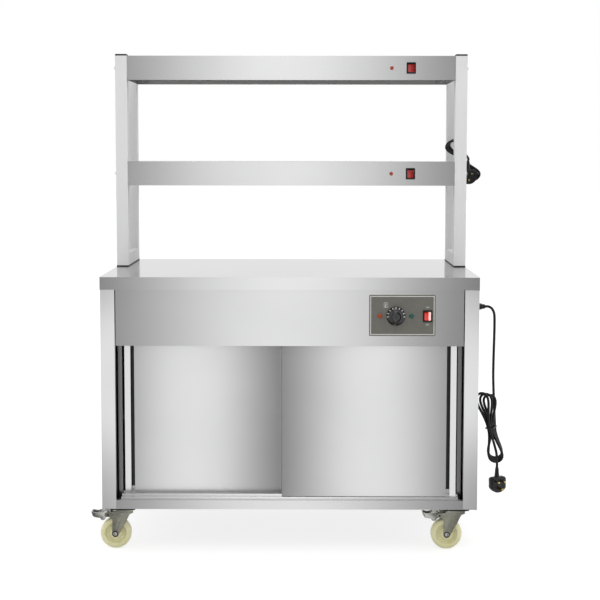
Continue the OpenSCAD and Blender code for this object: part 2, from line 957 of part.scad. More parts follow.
// Least gap between strands of a path, measured on points more than skip apart
function least_gap(p, d, skip) = min([
    for (i = [0:len(p) - 1 - skip]) min([for (j = [i + skip:len(p) - 1]) norm(p[i] - p[j])])
]) - d;

// Round tube along a path, as rings of triangles
module cord(path, d, sides) {
    last = len(path) - 1;
    points = [
        for (i = [0:last])
            let (t = tangent(path, i), u = unit(cross(t, [0, 1, 0])), v = cross(t, u))
            for (k = [0:sides - 1])
                path[i] + d / 2 * (cos(360 * k / sides) * u + sin(360 * k / sides) * v)
    ];
    walls = [
        for (i = [0:last - 1], k = [0:sides - 1])
            let (a = i * sides + k, b = i * sides + (k + 1) % sides)
            for (f = [[a, a + sides, b + sides], [a, b + sides, b]]) f
    ];
    ends = [
        for (k = [1:sides - 2])
            for (f = [[0, k, k + 1], [last * sides, last * sides + k + 1, last * sides + k]]) f
    ];
    polyhedron(points = points, faces = concat(walls, ends));
}

// Point of a hank. It starts downwards at the waist, each turn goes round by the lower lobe
// and the upper lobe, and each run on the second side climbs to the next layer.
function hank_layer(u, loops) =
    let (turn = min(floor(u * loops), loops - 1), a = 360 * (u * loops - turn),
         s = max(0, min(1, (a - 110) / 140)))
    (turn + s * s * (3 - 2 * s) - loops / 2) * (cord_diameter + strand_gap);

function hank_point(u, loops, heights, lobes, tilts) =
    let (
        a = 90 + 360 * loops * u,
        h = heights[0] + (heights[1] - heights[0]) * u,
        f = tilts[0] + (tilts[1] - tilts[0]) * u,
        lobe = cos(a) < 0 ? lobes[0] : lobes[1],
        x = sin(a) * ((cord_diameter + strand_gap) / 2 + lobe * cos(a) ^ 2),
        z = h * cos(a)
    )
    [x * cos(f) + z * sin(f), -hank_layer(u, loops), z * cos(f) - x * sin(f)];

// Whole hank: straight lead-in, loops that stop short of the last waist by a share of a turn,
// and a straight run out, turned and set in place
function hank_path(c, turn, loops, short, heights, lobes, tilts, steps, lead, out) =
    let (
        n = loops * steps,
        first = hank_point(0, loops, heights, lobes, tilts),
        final = hank_point(1, loops, heights, lobes, tilts),
        t0 = [-sin(tilts[0]), 0, -cos(tilts[0])],
        t1 = [-sin(tilts[1]), 0, -cos(tilts[1])],
        local = concat(
            [for (k = [3:-1:1]) first - lead * k / 3 * t0],
            [for (i = [0:n - short * steps]) hank_point(i / n, loops, heights, lobes, tilts)],
            [for (k = [1:2]) if (short == 0) final + out * k / 2 * t1]
        )
    )
    [for (p = local) c + [p.x * cos(turn) - p.y * sin(turn),
                          p.x * sin(turn) + p.y * cos(turn), p.z]];

function power_path(steps) = hank_path(
    power_hank_place, hank_turn, power_loops, 0, power_heights, power_lobes, power_tilts,
    steps, power_lead_in, power_run_out);

function gantry_path(steps) = hank_path(
    gantry_hank_place, 0, gantry_loops, gantry_short, gantry_heights, gantry_lobes,
    gantry_tilts, steps, gantry_lead_in, 0);

function first_of(p) = p[0];
function last_of(p) = p[len(p) - 1];
function end_tangent(p) = tangent(p, len(p) - 1);

// Lead from its gland to a hank, and tail from a hank down to its plug
function lead_path(start, route, hank) = spline(concat(
    [start + [gland_length, 0, 0], start + [gland_length + 9, 0, 0]],
    [for (p = route) start + p],
    [first_of(hank) - 20 * tangent(hank, 0), first_of(hank)]
), 3);

function tail_path(start, route, hank, plug) = spline(concat(
    [last_of(hank), last_of(hank) + 9 * end_tangent(hank)],
    [for (p = route) start + p],
    [plug + [0, 0, 12], plug + [0, 0, 6], plug]
), 3);

power_hank_path = power_path(24);
gantry_hank_path = gantry_path(24);

power_lead_path = lead_path(power_start, power_lead_route, power_hank_path);
power_tail_path = tail_path(power_start, power_tail_route, power_hank_path, plug_place);
gantry_lead_path = lead_path(gantry_start, gantry_lead_route, gantry_hank_path);
gantry_tail_path = tail_path(gantry_start, gantry_tail_route, gantry_hank_path,
                             gantry_plug_place);

echo(str("power cord ", round(path_length(power_lead_path) + path_length(power_hank_path)
    + path_length(power_tail_path)), " mm, least gap in its hank ",
    least_gap(concat(power_path(96), power_tail_path), cord_diameter, 8)));
echo(str("gantry cord ", round(path_length(gantry_lead_path) + path_length(gantry_hank_path)
    + path_length(gantry_tail_path)), " mm, least gap in its hank ",
    least_gap(concat(gantry_path(96), gantry_tail_path), cord_diameter, 8)));

// Gland that grips a cord in a side wall
module gland_shape() {
    bar_x([-gland_tail, 0, 0], gland_thread, gland_tail + 1);
    translate([-gland_tail + 2, 0, 0]) rotate([0, 90, 0])
        cylinder(h = gland_tail - 2 - sheet, r = gland_nut, $fn = 6);
    rotate([0, 90, 0]) cylinder(h = gland_flange, r = gland_nut, $fn = 6);
    rotate([0, 90, 0]) rotate_extrude() polygon([
        [0, 0], [gland_nut - 2, 0], [gland_nut - 2, 16], [gland_nut - 3, gland_length - 3],
        [gland_nut - 6, gland_length], [0, gland_length]
    ]);
}

module cord_glands() {
    color("black") {
        translate(power_start) gland_shape();
        translate(gantry_start) gland_shape();
    }
}

module power_lead() {
    color("black") cord(power_lead_path, cord_diameter, 8);
}

module power_hank() {
    color("black") cord(power_hank_path, cord_diameter, 6);
}

module power_tail() {
    color("black") cord(power_tail_path, cord_diameter, 8);
}

module gantry_lead() {
    color("black") cord(gantry_lead_path, cord_diameter, 8);
}

module gantry_hank() {
    tail = [for (i = [1:len(gantry_tail_path) - 1]) gantry_tail_path[i]];
    color("black") cord(concat(gantry_hank_path, tail), cord_diameter, 6);
}

// Tie round the waist of a hank
module tie_shape(loops) {
    pitch = cord_diameter + strand_gap;
    w = pitch + cord_diameter + 2 * tie_gap;
    h = loops * pitch + cord_diameter + 2 * tie_gap;
    along_z(-tie_width / 2, tie_width / 2) difference() {
        square([w + 2 * tie_sheet, h + 2 * tie_sheet], center = true);
        square([w, h], center = true);
    }
}

module cord_ties() {
    color("black") {
        translate(power_hank_place) rotate([0, (power_tilts[0] + power_tilts[1]) / 2, hank_turn])
            tie_shape(power_loops);
        translate(gantry_hank_place) rotate([0, (gantry_tilts[0] + gantry_tilts[1]) / 2, 0])
            tie_shape(gantry_loops);
    }
}

// Moulded plug that hangs from its cord, with the pins towards the front
module plug_shape() {
    drop = -relief_length - plug_height / 2 + 1;
    rotate_extrude() polygon([
        [0, 0], [cord_diameter / 2 + 0.8, 0], [cord_diameter / 2 + 1, -7],
        [cord_diameter / 2 + 2, -7], [cord_diameter / 2 + 2, -11],
        [cord_diameter / 2 + 1.4, -11], [cord_diameter / 2 + 1.4, -16],
        [cord_diameter / 2 + 2.6, -16], [cord_diameter / 2 + 2.6, -20],
        [cord_diameter / 2 + 2, -20], [cord_diameter / 2 + 4, -relief_length - 2],
        [0, -relief_length - 2]
    ]);
    translate([0, 0, drop]) {
        along_y(plug_face, plug_face + 16) plug_outline(0);
        along_y(plug_face + 16, plug_face + plug_depth) plug_outline(6);
    }
}

module plug_outline(inset) {
    intersection() {
        rounded(plug_width - 2 * inset, plug_height - 2 * inset, 9);
        translate([0, 5.5]) circle(31.5 - inset);
    }
}

// The two upper pins and the longer earth pin
module pins_shape() {
    top = -relief_length + 1;
    for (x = [-pin_pitch / 2, pin_pitch / 2])
        block([x - 3.2, plug_face - 17.7, top - pin_drop - 2],
              [x + 3.2, plug_face, top - pin_drop + 2]);
    block([-2, plug_face - 22.7, top - pin_drop - pin_pitch - 4],
          [2, plug_face, top - pin_drop - pin_pitch + 4]);
}

module plug_body() {
    color("black") translate(plug_place) rotate([0, 0, plug_turn]) plug_shape();
}

module plug_pins() {
    color("gold") translate(plug_place) rotate([0, 0, plug_turn]) pins_shape();
}

module gantry_plug() {
    color("black") translate(gantry_plug_place) {
        plug_shape();
        pins_shape();
    }
}

// Castors. Each is drawn with its swivel axis on Z and its wheel trailing to the left.

module castor_places() {
    for (x = [-castor_x, castor_x], y = [-castor_y, castor_y]) translate([x, y, 0]) children();
}

// Top plate with its bolts, swivel race and riveted king pin
module castor_plates() {
    low = castor_height - plate_sheet;
    head_top = crown_top - fork_sheet - seam;
    color("darkgray") castor_places() union() {
        along_z(low, castor_height) rounded(plate_width, plate_length, 6);
        translate([0, 0, crown_top + seam]) cylinder(h = low - crown_top, r = race_radius);
        translate([0, 0, head_top - 1]) cylinder(h = low - head_top + 1, r = king_radius);
        translate([0, 0, head_top - king_head]) cylinder(h = king_head, r = king_radius + 3);
        for (x = [-1, 1], y = [-1, 1])
            translate([x * (plate_width / 2 - plate_bolt_inset),
                       y * (plate_length / 2 - plate_bolt_inset), low - plate_bolt_head])
                cylinder(h = plate_bolt_head + 1, r = 6, $fn = 6);
    }
}

// Side view of a fork leg round the axle, with the arm that carries a brake
function leg_outline(braked) = concat(
    [for (a = [180:15:345]) [-castor_trail, wheel_radius] + leg_end * [cos(a), sin(a)]],
    [[-8, 64], [6, 88], [18, 114], [30, 120], [30, crown_top], [-30, crown_top]],
    braked ? [[-33, 119], [-58, 118], [-63, 112], [-58, 106], [-47, 104], [-37, 100]]
           : [[-36, 112]]
);

module fork_shape(braked) {
    outer = fork_inner + fork_sheet;
    axle = axle_diameter / 2;
    difference() {
        union() {
            for (y = [-outer, fork_inner]) along_y(y, y + fork_sheet) polygon(leg_outline(braked));
            intersection() {
                translate([0, 0, crown_top - fork_sheet]) cylinder(h = fork_sheet, r = crown_radius);
                block([-crown_radius, -outer, 0], [crown_radius, outer, crown_top]);
            }
            bar_y([-castor_trail, -outer, wheel_radius], axle, 2 * outer);
            for (y = [-outer - axle_cap, outer])
                bar_y([-castor_trail, y, wheel_radius], axle + 1, axle_cap);
            if (braked) bar_y([brake_pivot.x, -outer, brake_pivot.y], brake_pin, 2 * outer);
        }
        cylinder(h = castor_height, r = king_radius + running_gap);
    }
}

module castor_fork_fl() {
    color("gray") translate([-castor_x, -castor_y, 0]) fork_shape(true);
}

module castor_fork_fr() {
    color("gray") translate([castor_x, -castor_y, 0]) fork_shape(true);
}

module castor_fork_rl() {
    color("gray") translate([-castor_x, castor_y, 0]) fork_shape(false);
}

module castor_fork_rr() {
    color("gray") translate([castor_x, castor_y, 0]) fork_shape(false);
}

// Turned wheel with a recessed ring between rim and hub on both faces
module wheel_shape() {
    half = wheel_width / 2;
    hub = fork_inner - seam;
    bore = axle_diameter / 2 + running_gap;
    r = wheel_radius;
    side = [
        [bore, hub], [hub_radius, hub], [hub_radius + 2, half - ring_depth],
        [r - rim_width - 2, half - ring_depth], [r - rim_width, half - 1],
        [r - rim_width + 2, half], [r - 5, half], [r - 1.5, half - 3], [r, half - 8]
    ];
    below = [for (i = [len(side) - 1:-1:0]) [side[i].x, -side[i].y]];
    translate([-castor_trail, 0, r]) rotate([90, 0, 0])
        rotate_extrude($fn = 72) polygon(concat(side, below));
}

module castor_wheel_fl() {
    color("beige") translate([-castor_x, -castor_y, 0]) wheel_shape();
}

module castor_wheel_fr() {
    color("beige") translate([castor_x, -castor_y, 0]) wheel_shape();
}

module castor_wheel_rl() {
    color("beige") translate([-castor_x, castor_y, 0]) wheel_shape();
}

module castor_wheel_rr() {
    color("beige") translate([castor_x, castor_y, 0]) wheel_shape();
}

// Brake pedal of bent sheet with its cheeks, hinge barrel and brake roller
module brake_shape() {
    half = fork_inner - 3;
    pedal = spline([
        [-48, 118], [-56, 125], [-67, 127], [-77, 116], [-86, 107], [-93, 105],
        [-99, 110], [-104, 121]
    ], 2);
    cheek = [brake_pivot + [4, -4], brake_pivot + [2, 6], [-57, 124], [-68, 125],
             [-76, 113], brake_roller + [-4, -4], brake_roller + [4, -4]];
    difference() {
        union() {
            along_y(-half, half) strip(pedal, pedal_sheet);
            for (y = [-half, half - pedal_sheet]) along_y(y, y + pedal_sheet) polygon(cheek);
            bar_y([brake_pivot.x, -half, brake_pivot.y], brake_pin + 3, 2 * half);
            bar_y([brake_roller.x, -half + 2, brake_roller.y], roller_radius, 2 * half - 4);
        }
        bar_y([brake_pivot.x, -half - 1, brake_pivot.y], brake_pin + running_gap, 2 * half + 2);
    }
}

module castor_brake_left() {
    color("silver") translate([-castor_x, -castor_y, 0]) brake_shape();
}

module castor_brake_right() {
    color("silver") translate([castor_x, -castor_y, 0]) brake_shape();
}

worktop();
side_panel_left();
side_panel_right();
back_panel();
front_fascia();
base_pan();
door_sill();
door_track();
liner_left();
liner_right();
control_box();
middle_shelf();
shelf_runners();
heater_element();
heater_cover();
door_front();
door_rear();
door_front_shoes();
door_rear_shoes();
control_panel();
thermostat_body();
thermostat_knob();
heat_lamp();
power_lamp();
switch_frame();
switch_rocker();
cord_glands();
power_lead();
power_hank();
power_tail();
cord_ties();
plug_body();
plug_pins();
gantry_lead();
gantry_hank();
gantry_plug();
gantry_frame_left();
gantry_frame_right();
tube_caps();
foot_pads();
shelf_top();
shelf_lower();
shelf_reflectors();
shelf_heaters();
gantry_lamps();
gantry_switch_frames();
gantry_rocker_top();
gantry_rocker_lower();
gantry_bolts();
castor_plates();
castor_fork_fl();
castor_fork_fr();
castor_fork_rl();
castor_fork_rr();
castor_wheel_fl();
castor_wheel_fr();
castor_wheel_rl();
castor_wheel_rr();
castor_brake_left();
castor_brake_right();
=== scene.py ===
import math
import bmesh
import bpy
from mathutils import Matrix, Vector


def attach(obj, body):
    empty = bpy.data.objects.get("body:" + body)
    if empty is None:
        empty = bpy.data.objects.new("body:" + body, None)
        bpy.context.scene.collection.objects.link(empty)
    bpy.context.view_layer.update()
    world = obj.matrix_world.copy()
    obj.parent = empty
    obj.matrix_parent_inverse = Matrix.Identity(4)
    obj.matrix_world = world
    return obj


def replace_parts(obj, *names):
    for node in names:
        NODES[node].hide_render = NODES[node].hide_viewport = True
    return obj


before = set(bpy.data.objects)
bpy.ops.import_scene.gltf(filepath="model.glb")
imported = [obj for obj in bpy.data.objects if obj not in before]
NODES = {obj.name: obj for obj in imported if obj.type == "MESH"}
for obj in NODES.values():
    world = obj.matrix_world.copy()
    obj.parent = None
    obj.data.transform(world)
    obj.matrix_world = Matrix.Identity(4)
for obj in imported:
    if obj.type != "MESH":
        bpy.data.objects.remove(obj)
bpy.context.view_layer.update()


# Small tools of the maker: colour and nodes

def tone(hex_code):
    """Linear colour of an sRGB hex value."""
    parts = [int(hex_code[i:i + 2], 16) / 255 for i in (1, 3, 5)]
    return tuple(c / 12.92 if c <= 0.04045 else ((c + 0.055) / 1.055) ** 2.4 for c in parts) + (1,)


def shaded(colour, factor, lift=0.0):
    """A linear colour made darker or lighter."""
    return tuple(min(1, c * factor + lift) for c in colour[:3]) + (1,)


def feed(node, settings=None, links=None):
    """Sets a node's attributes or socket values, and links what feeds it: a socket, or a node
    whose first output is meant."""
    for key, value in (settings or {}).items():
        if isinstance(key, str) and hasattr(node, key):
            setattr(node, key, value)
        else:
            node.inputs[key].default_value = value
    for key, source in (links or {}).items():
        output = source.outputs[0] if isinstance(source, bpy.types.Node) else source
        node.id_data.links.new(output, node.inputs[key])
    return node


def add(tree, kind, settings=None, links=None, stops=()):
    """A node with its settings and links, and a colour ramp's stops of grey or colour."""
    node = feed(tree.nodes.new(kind), settings, links)
    if stops:
        row = node.color_ramp.elements
        while len(row) < len(stops):
            row.new(0.5)
        for element, (place, colour) in zip(row, stops):
            element.position = place
            element.color = colour if hasattr(colour, "__len__") else (colour, colour, colour, 1)
    return node


def new_material(name):
    """A material with its tree, its shader and the coordinates that its patterns follow."""
    material = bpy.data.materials.new(name)
    material.use_nodes = True
    tree = material.node_tree
    tree.nodes.clear()
    shader = add(tree, "ShaderNodeBsdfPrincipled")
    add(tree, "ShaderNodeOutputMaterial", links={"Surface": shader})
    return material, tree, shader, add(tree, "ShaderNodeTexCoord").outputs["Object"]


# Camera at the photograph's viewing angle

camera = bpy.data.objects.new("view_camera", bpy.data.cameras.new("view_camera"))
bpy.context.scene.collection.objects.link(camera)
camera.location = (0.052, -4.323, 1.274)
camera.rotation_euler = (math.radians(90 - 4.43), math.radians(-0.07), math.radians(0.27))
camera.data.lens = 76.15
camera.data.sensor_width = 36.0
camera.data.shift_x = -0.0006
camera.data.shift_y = -0.0805
camera.data.clip_end = 100
bpy.context.scene.camera = camera
bpy.context.scene.view_settings.view_transform = "Standard"


# Studio: a bright soft wall behind the camera between two darker flags, pale all round.
# The backdrop behind the object is white, for the camera and in what the metal mirrors.

# Places are shares of half a turn away from the camera's side of the room
STUDIO = [(0.0, 1.0), (0.016, 0.97), (0.034, 0.42), (0.055, 0.09), (0.17, 0.08), (0.24, 0.45),
          (0.34, 0.78), (0.6, 0.8), (1.0, 0.7)]
# Places are shares of the way from straight down to straight up
STUDIO_LIFT = [(0.0, 0.75), (0.4, 0.9), (0.55, 0.9), (0.8, 1.0), (1.0, 1.0)]
# Radians by which the bright wall stands beside the cabinet's middle line
STUDIO_TURN = 0.019
STUDIO_STRENGTH = 1.75
CEILING = (0.6, 0.6, 0.6, 1)

world = bpy.data.worlds.new("studio")
bpy.context.scene.world = world
world.use_nodes = True
sky = world.node_tree
sky.nodes.clear()
ray = add(sky, "ShaderNodeTexCoord").outputs["Generated"]
axes = add(sky, "ShaderNodeSeparateXYZ", links={0: ray}).outputs
toward = add(sky, "ShaderNodeMath", {"operation": "MULTIPLY", 1: -1.0}, {0: axes["Y"]})
turn = add(sky, "ShaderNodeMath", {"operation": "ARCTAN2"}, {0: axes["X"], 1: toward})
aimed = add(sky, "ShaderNodeMath", {"operation": "ADD", 1: STUDIO_TURN}, {0: turn})
apart = add(sky, "ShaderNodeMath", {"operation": "ABSOLUTE"}, {0: aimed})
share = add(sky, "ShaderNodeMath", {"operation": "DIVIDE", 1: math.pi}, {0: apart})
wall = add(sky, "ShaderNodeValToRGB", links={"Fac": share}, stops=STUDIO)
height = add(sky, "ShaderNodeMapRange", {"From Min": -1.0, "From Max": 1.0}, {0: axes["Z"]})
lift = add(sky, "ShaderNodeValToRGB", links={"Fac": height}, stops=STUDIO_LIFT)
above = add(sky, "ShaderNodeMapRange",
            {"From Min": 0.45, "From Max": 0.8, "interpolation_type": "SMOOTHSTEP"}, {0: axes["Z"]})
low_wall = add(sky, "ShaderNodeMixRGB", {"blend_type": "MULTIPLY", "Fac": 1.0},
               {"Color1": wall, "Color2": lift})
room = add(sky, "ShaderNodeMixRGB", {"Color2": CEILING}, {"Fac": above, "Color1": low_wall})
lit = add(sky, "ShaderNodeBackground", {"Strength": STUDIO_STRENGTH}, {"Color": room})
plain = add(sky, "ShaderNodeBackground", {"Color": (1, 1, 1, 1), "Strength": 1.0})
path = add(sky, "ShaderNodeLightPath").outputs
behind = add(sky, "ShaderNodeMapRange", {"From Min": 0.1, "From Max": 0.4}, {0: axes["Y"]})
mirrored = add(sky, "ShaderNodeMath", {"operation": "MAXIMUM"},
               {0: path["Is Glossy Ray"], 1: path["Is Transmission Ray"]})
in_metal = add(sky, "ShaderNodeMath", {"operation": "MULTIPLY"}, {0: mirrored, 1: behind})
backdrop = add(sky, "ShaderNodeMath", {"operation": "MAXIMUM"},
               {0: path["Is Camera Ray"], 1: in_metal})
seen = add(sky, "ShaderNodeMixShader", None, {0: backdrop, 1: lit, 2: plain})
add(sky, "ShaderNodeOutputWorld", links={0: seen})


def lamp(name, place, target, size, power):
    """Round soft lamp, not seen by the camera itself."""
    data = bpy.data.lights.new(name, "AREA")
    data.shape = "DISK"
    data.size = size
    data.energy = power
    obj = bpy.data.objects.new(name, data)
    obj.location = place
    obj.rotation_euler = (Vector(target) - Vector(place)).to_track_quat("-Z", "Y").to_euler()
    obj.visible_camera = False
    bpy.context.scene.collection.objects.link(obj)
    return obj


lamp("key_lamp", (-0.1, -2.5, 4.1), (0, 0, 0.8), 0.8, 9)
lamp("top_lamp", (0.2, 0.2, 4.2), (0, 0, 0.9), 2.2, 30)


FLOOR_HALF = 30


def floor_plane():
    """Matt floor that glows for the camera only, so that it meets the white backdrop."""
    mesh = bpy.data.meshes.new("floor")
    s = FLOOR_HALF
    mesh.from_pydata([(-s, -s, 0), (s, -s, 0), (s, s, 0), (-s, s, 0)], [], [(0, 1, 2, 3)])
    obj = bpy.data.objects.new("floor", mesh)
    bpy.context.scene.collection.objects.link(obj)
    material = bpy.data.materials.new("pale_floor")
    material.use_nodes = True
    tree = material.node_tree
    tree.nodes.clear()
    matt = add(tree, "ShaderNodeBsdfDiffuse", {"Color": tone("#f2f2f2")})
    dim = add(tree, "ShaderNodeBsdfDiffuse", {"Color": tone("#a4a4a4")})
    glow = add(tree, "ShaderNodeEmission", {"Color": (1, 1, 1, 1), "Strength": 0.72})
    both = add(tree, "ShaderNodeAddShader", None, {0: dim, 1: glow})
    for_camera = add(tree, "ShaderNodeLightPath").outputs["Is Camera Ray"]
    mixed = add(tree, "ShaderNodeMixShader", None, {0: for_camera, 1: matt, 2: both})
    add(tree, "ShaderNodeOutputMaterial", links={"Surface": mixed})
    mesh.materials.append(material)
    obj.visible_glossy = False


floor_plane()


# Cords. Leads and tails follow the part's source. The mains hank has narrower loops that fan
# out, so that its strands show side by side. Thickness and pitch are in metres, routes in mm.

CORD = 0.0085
PITCH = CORD + 0.0006
TURN_STEPS = 40


def millimetres(points):
    """Points given in mm, as vectors in metres."""
    return [Vector(p) / 1000 for p in points]


def smooth(points, steps):
    """Catmull-Rom curve through the points."""
    out = []
    for i in range(len(points) - 1):
        a, b, c = points[max(i - 1, 0)], points[i], points[i + 1]
        d = points[min(i + 2, len(points) - 1)]
        for k in range(steps):
            t = k / steps
            out.append(0.5 * (2 * b + (c - a) * t + (2 * a - 5 * b + 4 * c - d) * t ** 2
                              + (3 * b - a - 3 * c + d) * t ** 3))
    return out + [points[-1]]


def hank_layer(u, loops):
    """Depth of a hank's strand: each turn climbs to the next layer on its second side."""
    turn_no = min(math.floor(u * loops), loops - 1)
    a = 360 * (u * loops - turn_no)
    s = max(0, min(1, (a - 110) / 140))
    return (turn_no + s * s * (3 - 2 * s) - loops / 2) * PITCH


def hank_point(u, loops, heights, lobes, tilts, fan):
    """Point at share u of a hank. Heights, lobes and tilts run from the first turn's to the
    last turn's, and fan moves each layer sideways by that share of its depth."""
    a = math.radians(90 + 360 * loops * u)
    h = (heights[0] + (heights[1] - heights[0]) * u) / 1000
    f = math.radians(tilts[0] + (tilts[1] - tilts[0]) * u)
    lobe = (lobes[0] if math.cos(a) < 0 else lobes[1]) / 1000
    layer = hank_layer(u, loops)
    x = math.sin(a) * (PITCH / 2 + lobe * math.cos(a) ** 2) - fan * layer
    z = h * math.cos(a)
    return Vector((x * math.cos(f) + z * math.sin(f), -layer, z * math.cos(f) - x * math.sin(f)))


def hank(centre, turned, form, short, lead, run_out):
    """Straight lead-in, turns that stop short by a share of one, and a straight run out."""
    t0, t1 = [Vector((-math.sin(math.radians(t)), 0, -math.cos(math.radians(t))))
              for t in form["tilts"]]
    n = form["loops"] * TURN_STEPS
    local = [hank_point(0, **form) - lead / 1000 * k / 3 * t0 for k in (3, 2, 1)]
    local += [hank_point(i / n, **form) for i in range(int(round(n - short * TURN_STEPS)) + 1)]
    if short == 0:
        local += [hank_point(1, **form) + run_out / 1000 * k / 2 * t1 for k in (1, 2)]
    turn_matrix = Matrix.Rotation(math.radians(turned), 3, "Z")
    return [Vector(centre) / 1000 + turn_matrix @ p for p in local]


def cord_line(start, lead, hank_points, tail, plug):
    """Whole centreline from the gland to the plug, and its length. It leaves the gland straight,
    runs straight into and out of the hank, and enters the plug from above."""
    start = Vector(start)
    first, final = hank_points[0] * 1000, hank_points[-1] * 1000
    t0 = (hank_points[1] - hank_points[0]).normalized()
    t1 = (hank_points[-1] - hank_points[-2]).normalized()
    ahead = [start + Vector((out, 0, 0)) for out in (27, 36)]
    ahead += [start + Vector(p) for p in lead] + [first - 20 * t0, first]
    behind = [final, final + 9 * t1] + [start + Vector(p) for p in tail]
    behind += [Vector(plug) + Vector((0, 0, over)) for over in (12, 6, 0)]
    line = smooth(millimetres(ahead), 3)[:-1] + hank_points + smooth(millimetres(behind), 3)[1:]
    return line, sum((b - a).length for a, b in zip(line, line[1:]))


def cord_curve(name, line, material):
    """Tube of the cord's thickness along its line."""
    data = bpy.data.curves.new(name, "CURVE")
    data.dimensions = "3D"
    data.bevel_depth = CORD / 2
    data.bevel_resolution = 3
    data.use_fill_caps = True
    spline = data.splines.new("POLY")
    spline.points.add(len(line) - 1)
    for point, place in zip(spline.points, line):
        point.co = (*place, 1)
    spline.use_smooth = True
    data.materials.append(material)
    obj = bpy.data.objects.new(name, data)
    bpy.context.scene.collection.objects.link(obj)
    return obj


def soft_black(name, colour, rough, grain_mm, bump, coat=0.0, sheen_level=0.5):
    """Moulded or extruded black plastic: even and slightly glossy, with a fine skin. Its real
    grain is too fine to show, so grain_mm is as wide as it needs to be to break the gloss."""
    material, tree, shader, place = new_material(name)
    grain = add(tree, "ShaderNodeTexNoise", {"Scale": 1000 / grain_mm, "Detail": 3.0, "Roughness": 0.6},
                {"Vector": place})
    cloud = add(tree, "ShaderNodeTexNoise", {"Scale": 28.0, "Detail": 3.0}, {"Vector": place})
    base = tone(colour)
    shade = add(tree, "ShaderNodeValToRGB", links={"Fac": cloud},
                stops=[(0.35, base), (0.7, shaded(base, 1.5, 0.004))])
    spread = add(tree, "ShaderNodeMapRange", {"To Min": rough - 0.06, "To Max": rough + 0.1}, {0: cloud})
    skin = add(tree, "ShaderNodeBump", {"Strength": bump, "Distance": grain_mm / 4000},
               {"Height": grain})
    feed(shader, {"IOR": 1.5, "Coat Weight": coat, "Specular IOR Level": sheen_level},
         {"Base Color": shade, "Roughness": spread, "Normal": skin})
    return material


pvc_jacket = soft_black("extruded_black_pvc", "#060607", 0.2, 3.0, 0.06, 0.0, 0.4)

# Places and routes in mm, a lead and a tail as steps from the cord's start
POWER_START = (598, -290, 787)
POWER_LEAD = [(47, 0, -6), (55, 1, -21), (57, 2, -47), (57, 4, -97), (56, 6, -167), (56, 8, -227)]
POWER_HANK = (648, -290, 396)
POWER_TURNED = -25
POWER_FORM = {"loops": 3, "heights": (100, 116), "lobes": (54, 46), "tilts": (-3, -15), "fan": 0.3}
POWER_TAIL = [(58, -20, -443), (65, -24, -472)]
POWER_PLUG = (665, -314, 270)
GANTRY_START = (559.7, 180, 1562)
GANTRY_LEAD = [(44.3, 1, -6), (49.3, 4, -26), (49.3, 8, -72), (42.3, 11, -142), (32.3, 13, -202)]
GANTRY_HANK = (606, 180, 1250)
GANTRY_FORM = {"loops": 3, "heights": (78, 82), "lobes": (48, 48), "tilts": (-22, -42), "fan": 0.0}
GANTRY_TAIL = [(43.3, -26, -281)]
GANTRY_PLUG = (620, 146, 1246)

power_turns = hank(POWER_HANK, POWER_TURNED, POWER_FORM, short=0, lead=84, run_out=26)
gantry_turns = hank(GANTRY_HANK, 0, GANTRY_FORM, short=0.125, lead=60, run_out=0)
power_line, power_length = cord_line(POWER_START, POWER_LEAD, power_turns, POWER_TAIL, POWER_PLUG)
gantry_line, gantry_length = cord_line(GANTRY_START, GANTRY_LEAD, gantry_turns, GANTRY_TAIL, GANTRY_PLUG)
power_cord = cord_curve("power_cord", power_line, pvc_jacket)
gantry_cord = cord_curve("gantry_cord", gantry_line, pvc_jacket)
for piece in (power_cord, gantry_cord):
    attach(piece, "cabinet")
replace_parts(power_cord, "power_lead", "power_hank", "power_tail")
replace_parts(gantry_cord, "gantry_lead", "gantry_hank")


# Materials, named for the real ones

# A belt's real lines are about 0.1 mm wide, too fine to show, so they are drawn this wide
LINE_WIDE_MM = 2.6
LINE_LONG_MM = 70.0
LINE_DARK = 0.0132
LINE_LIGHT = 0.0108


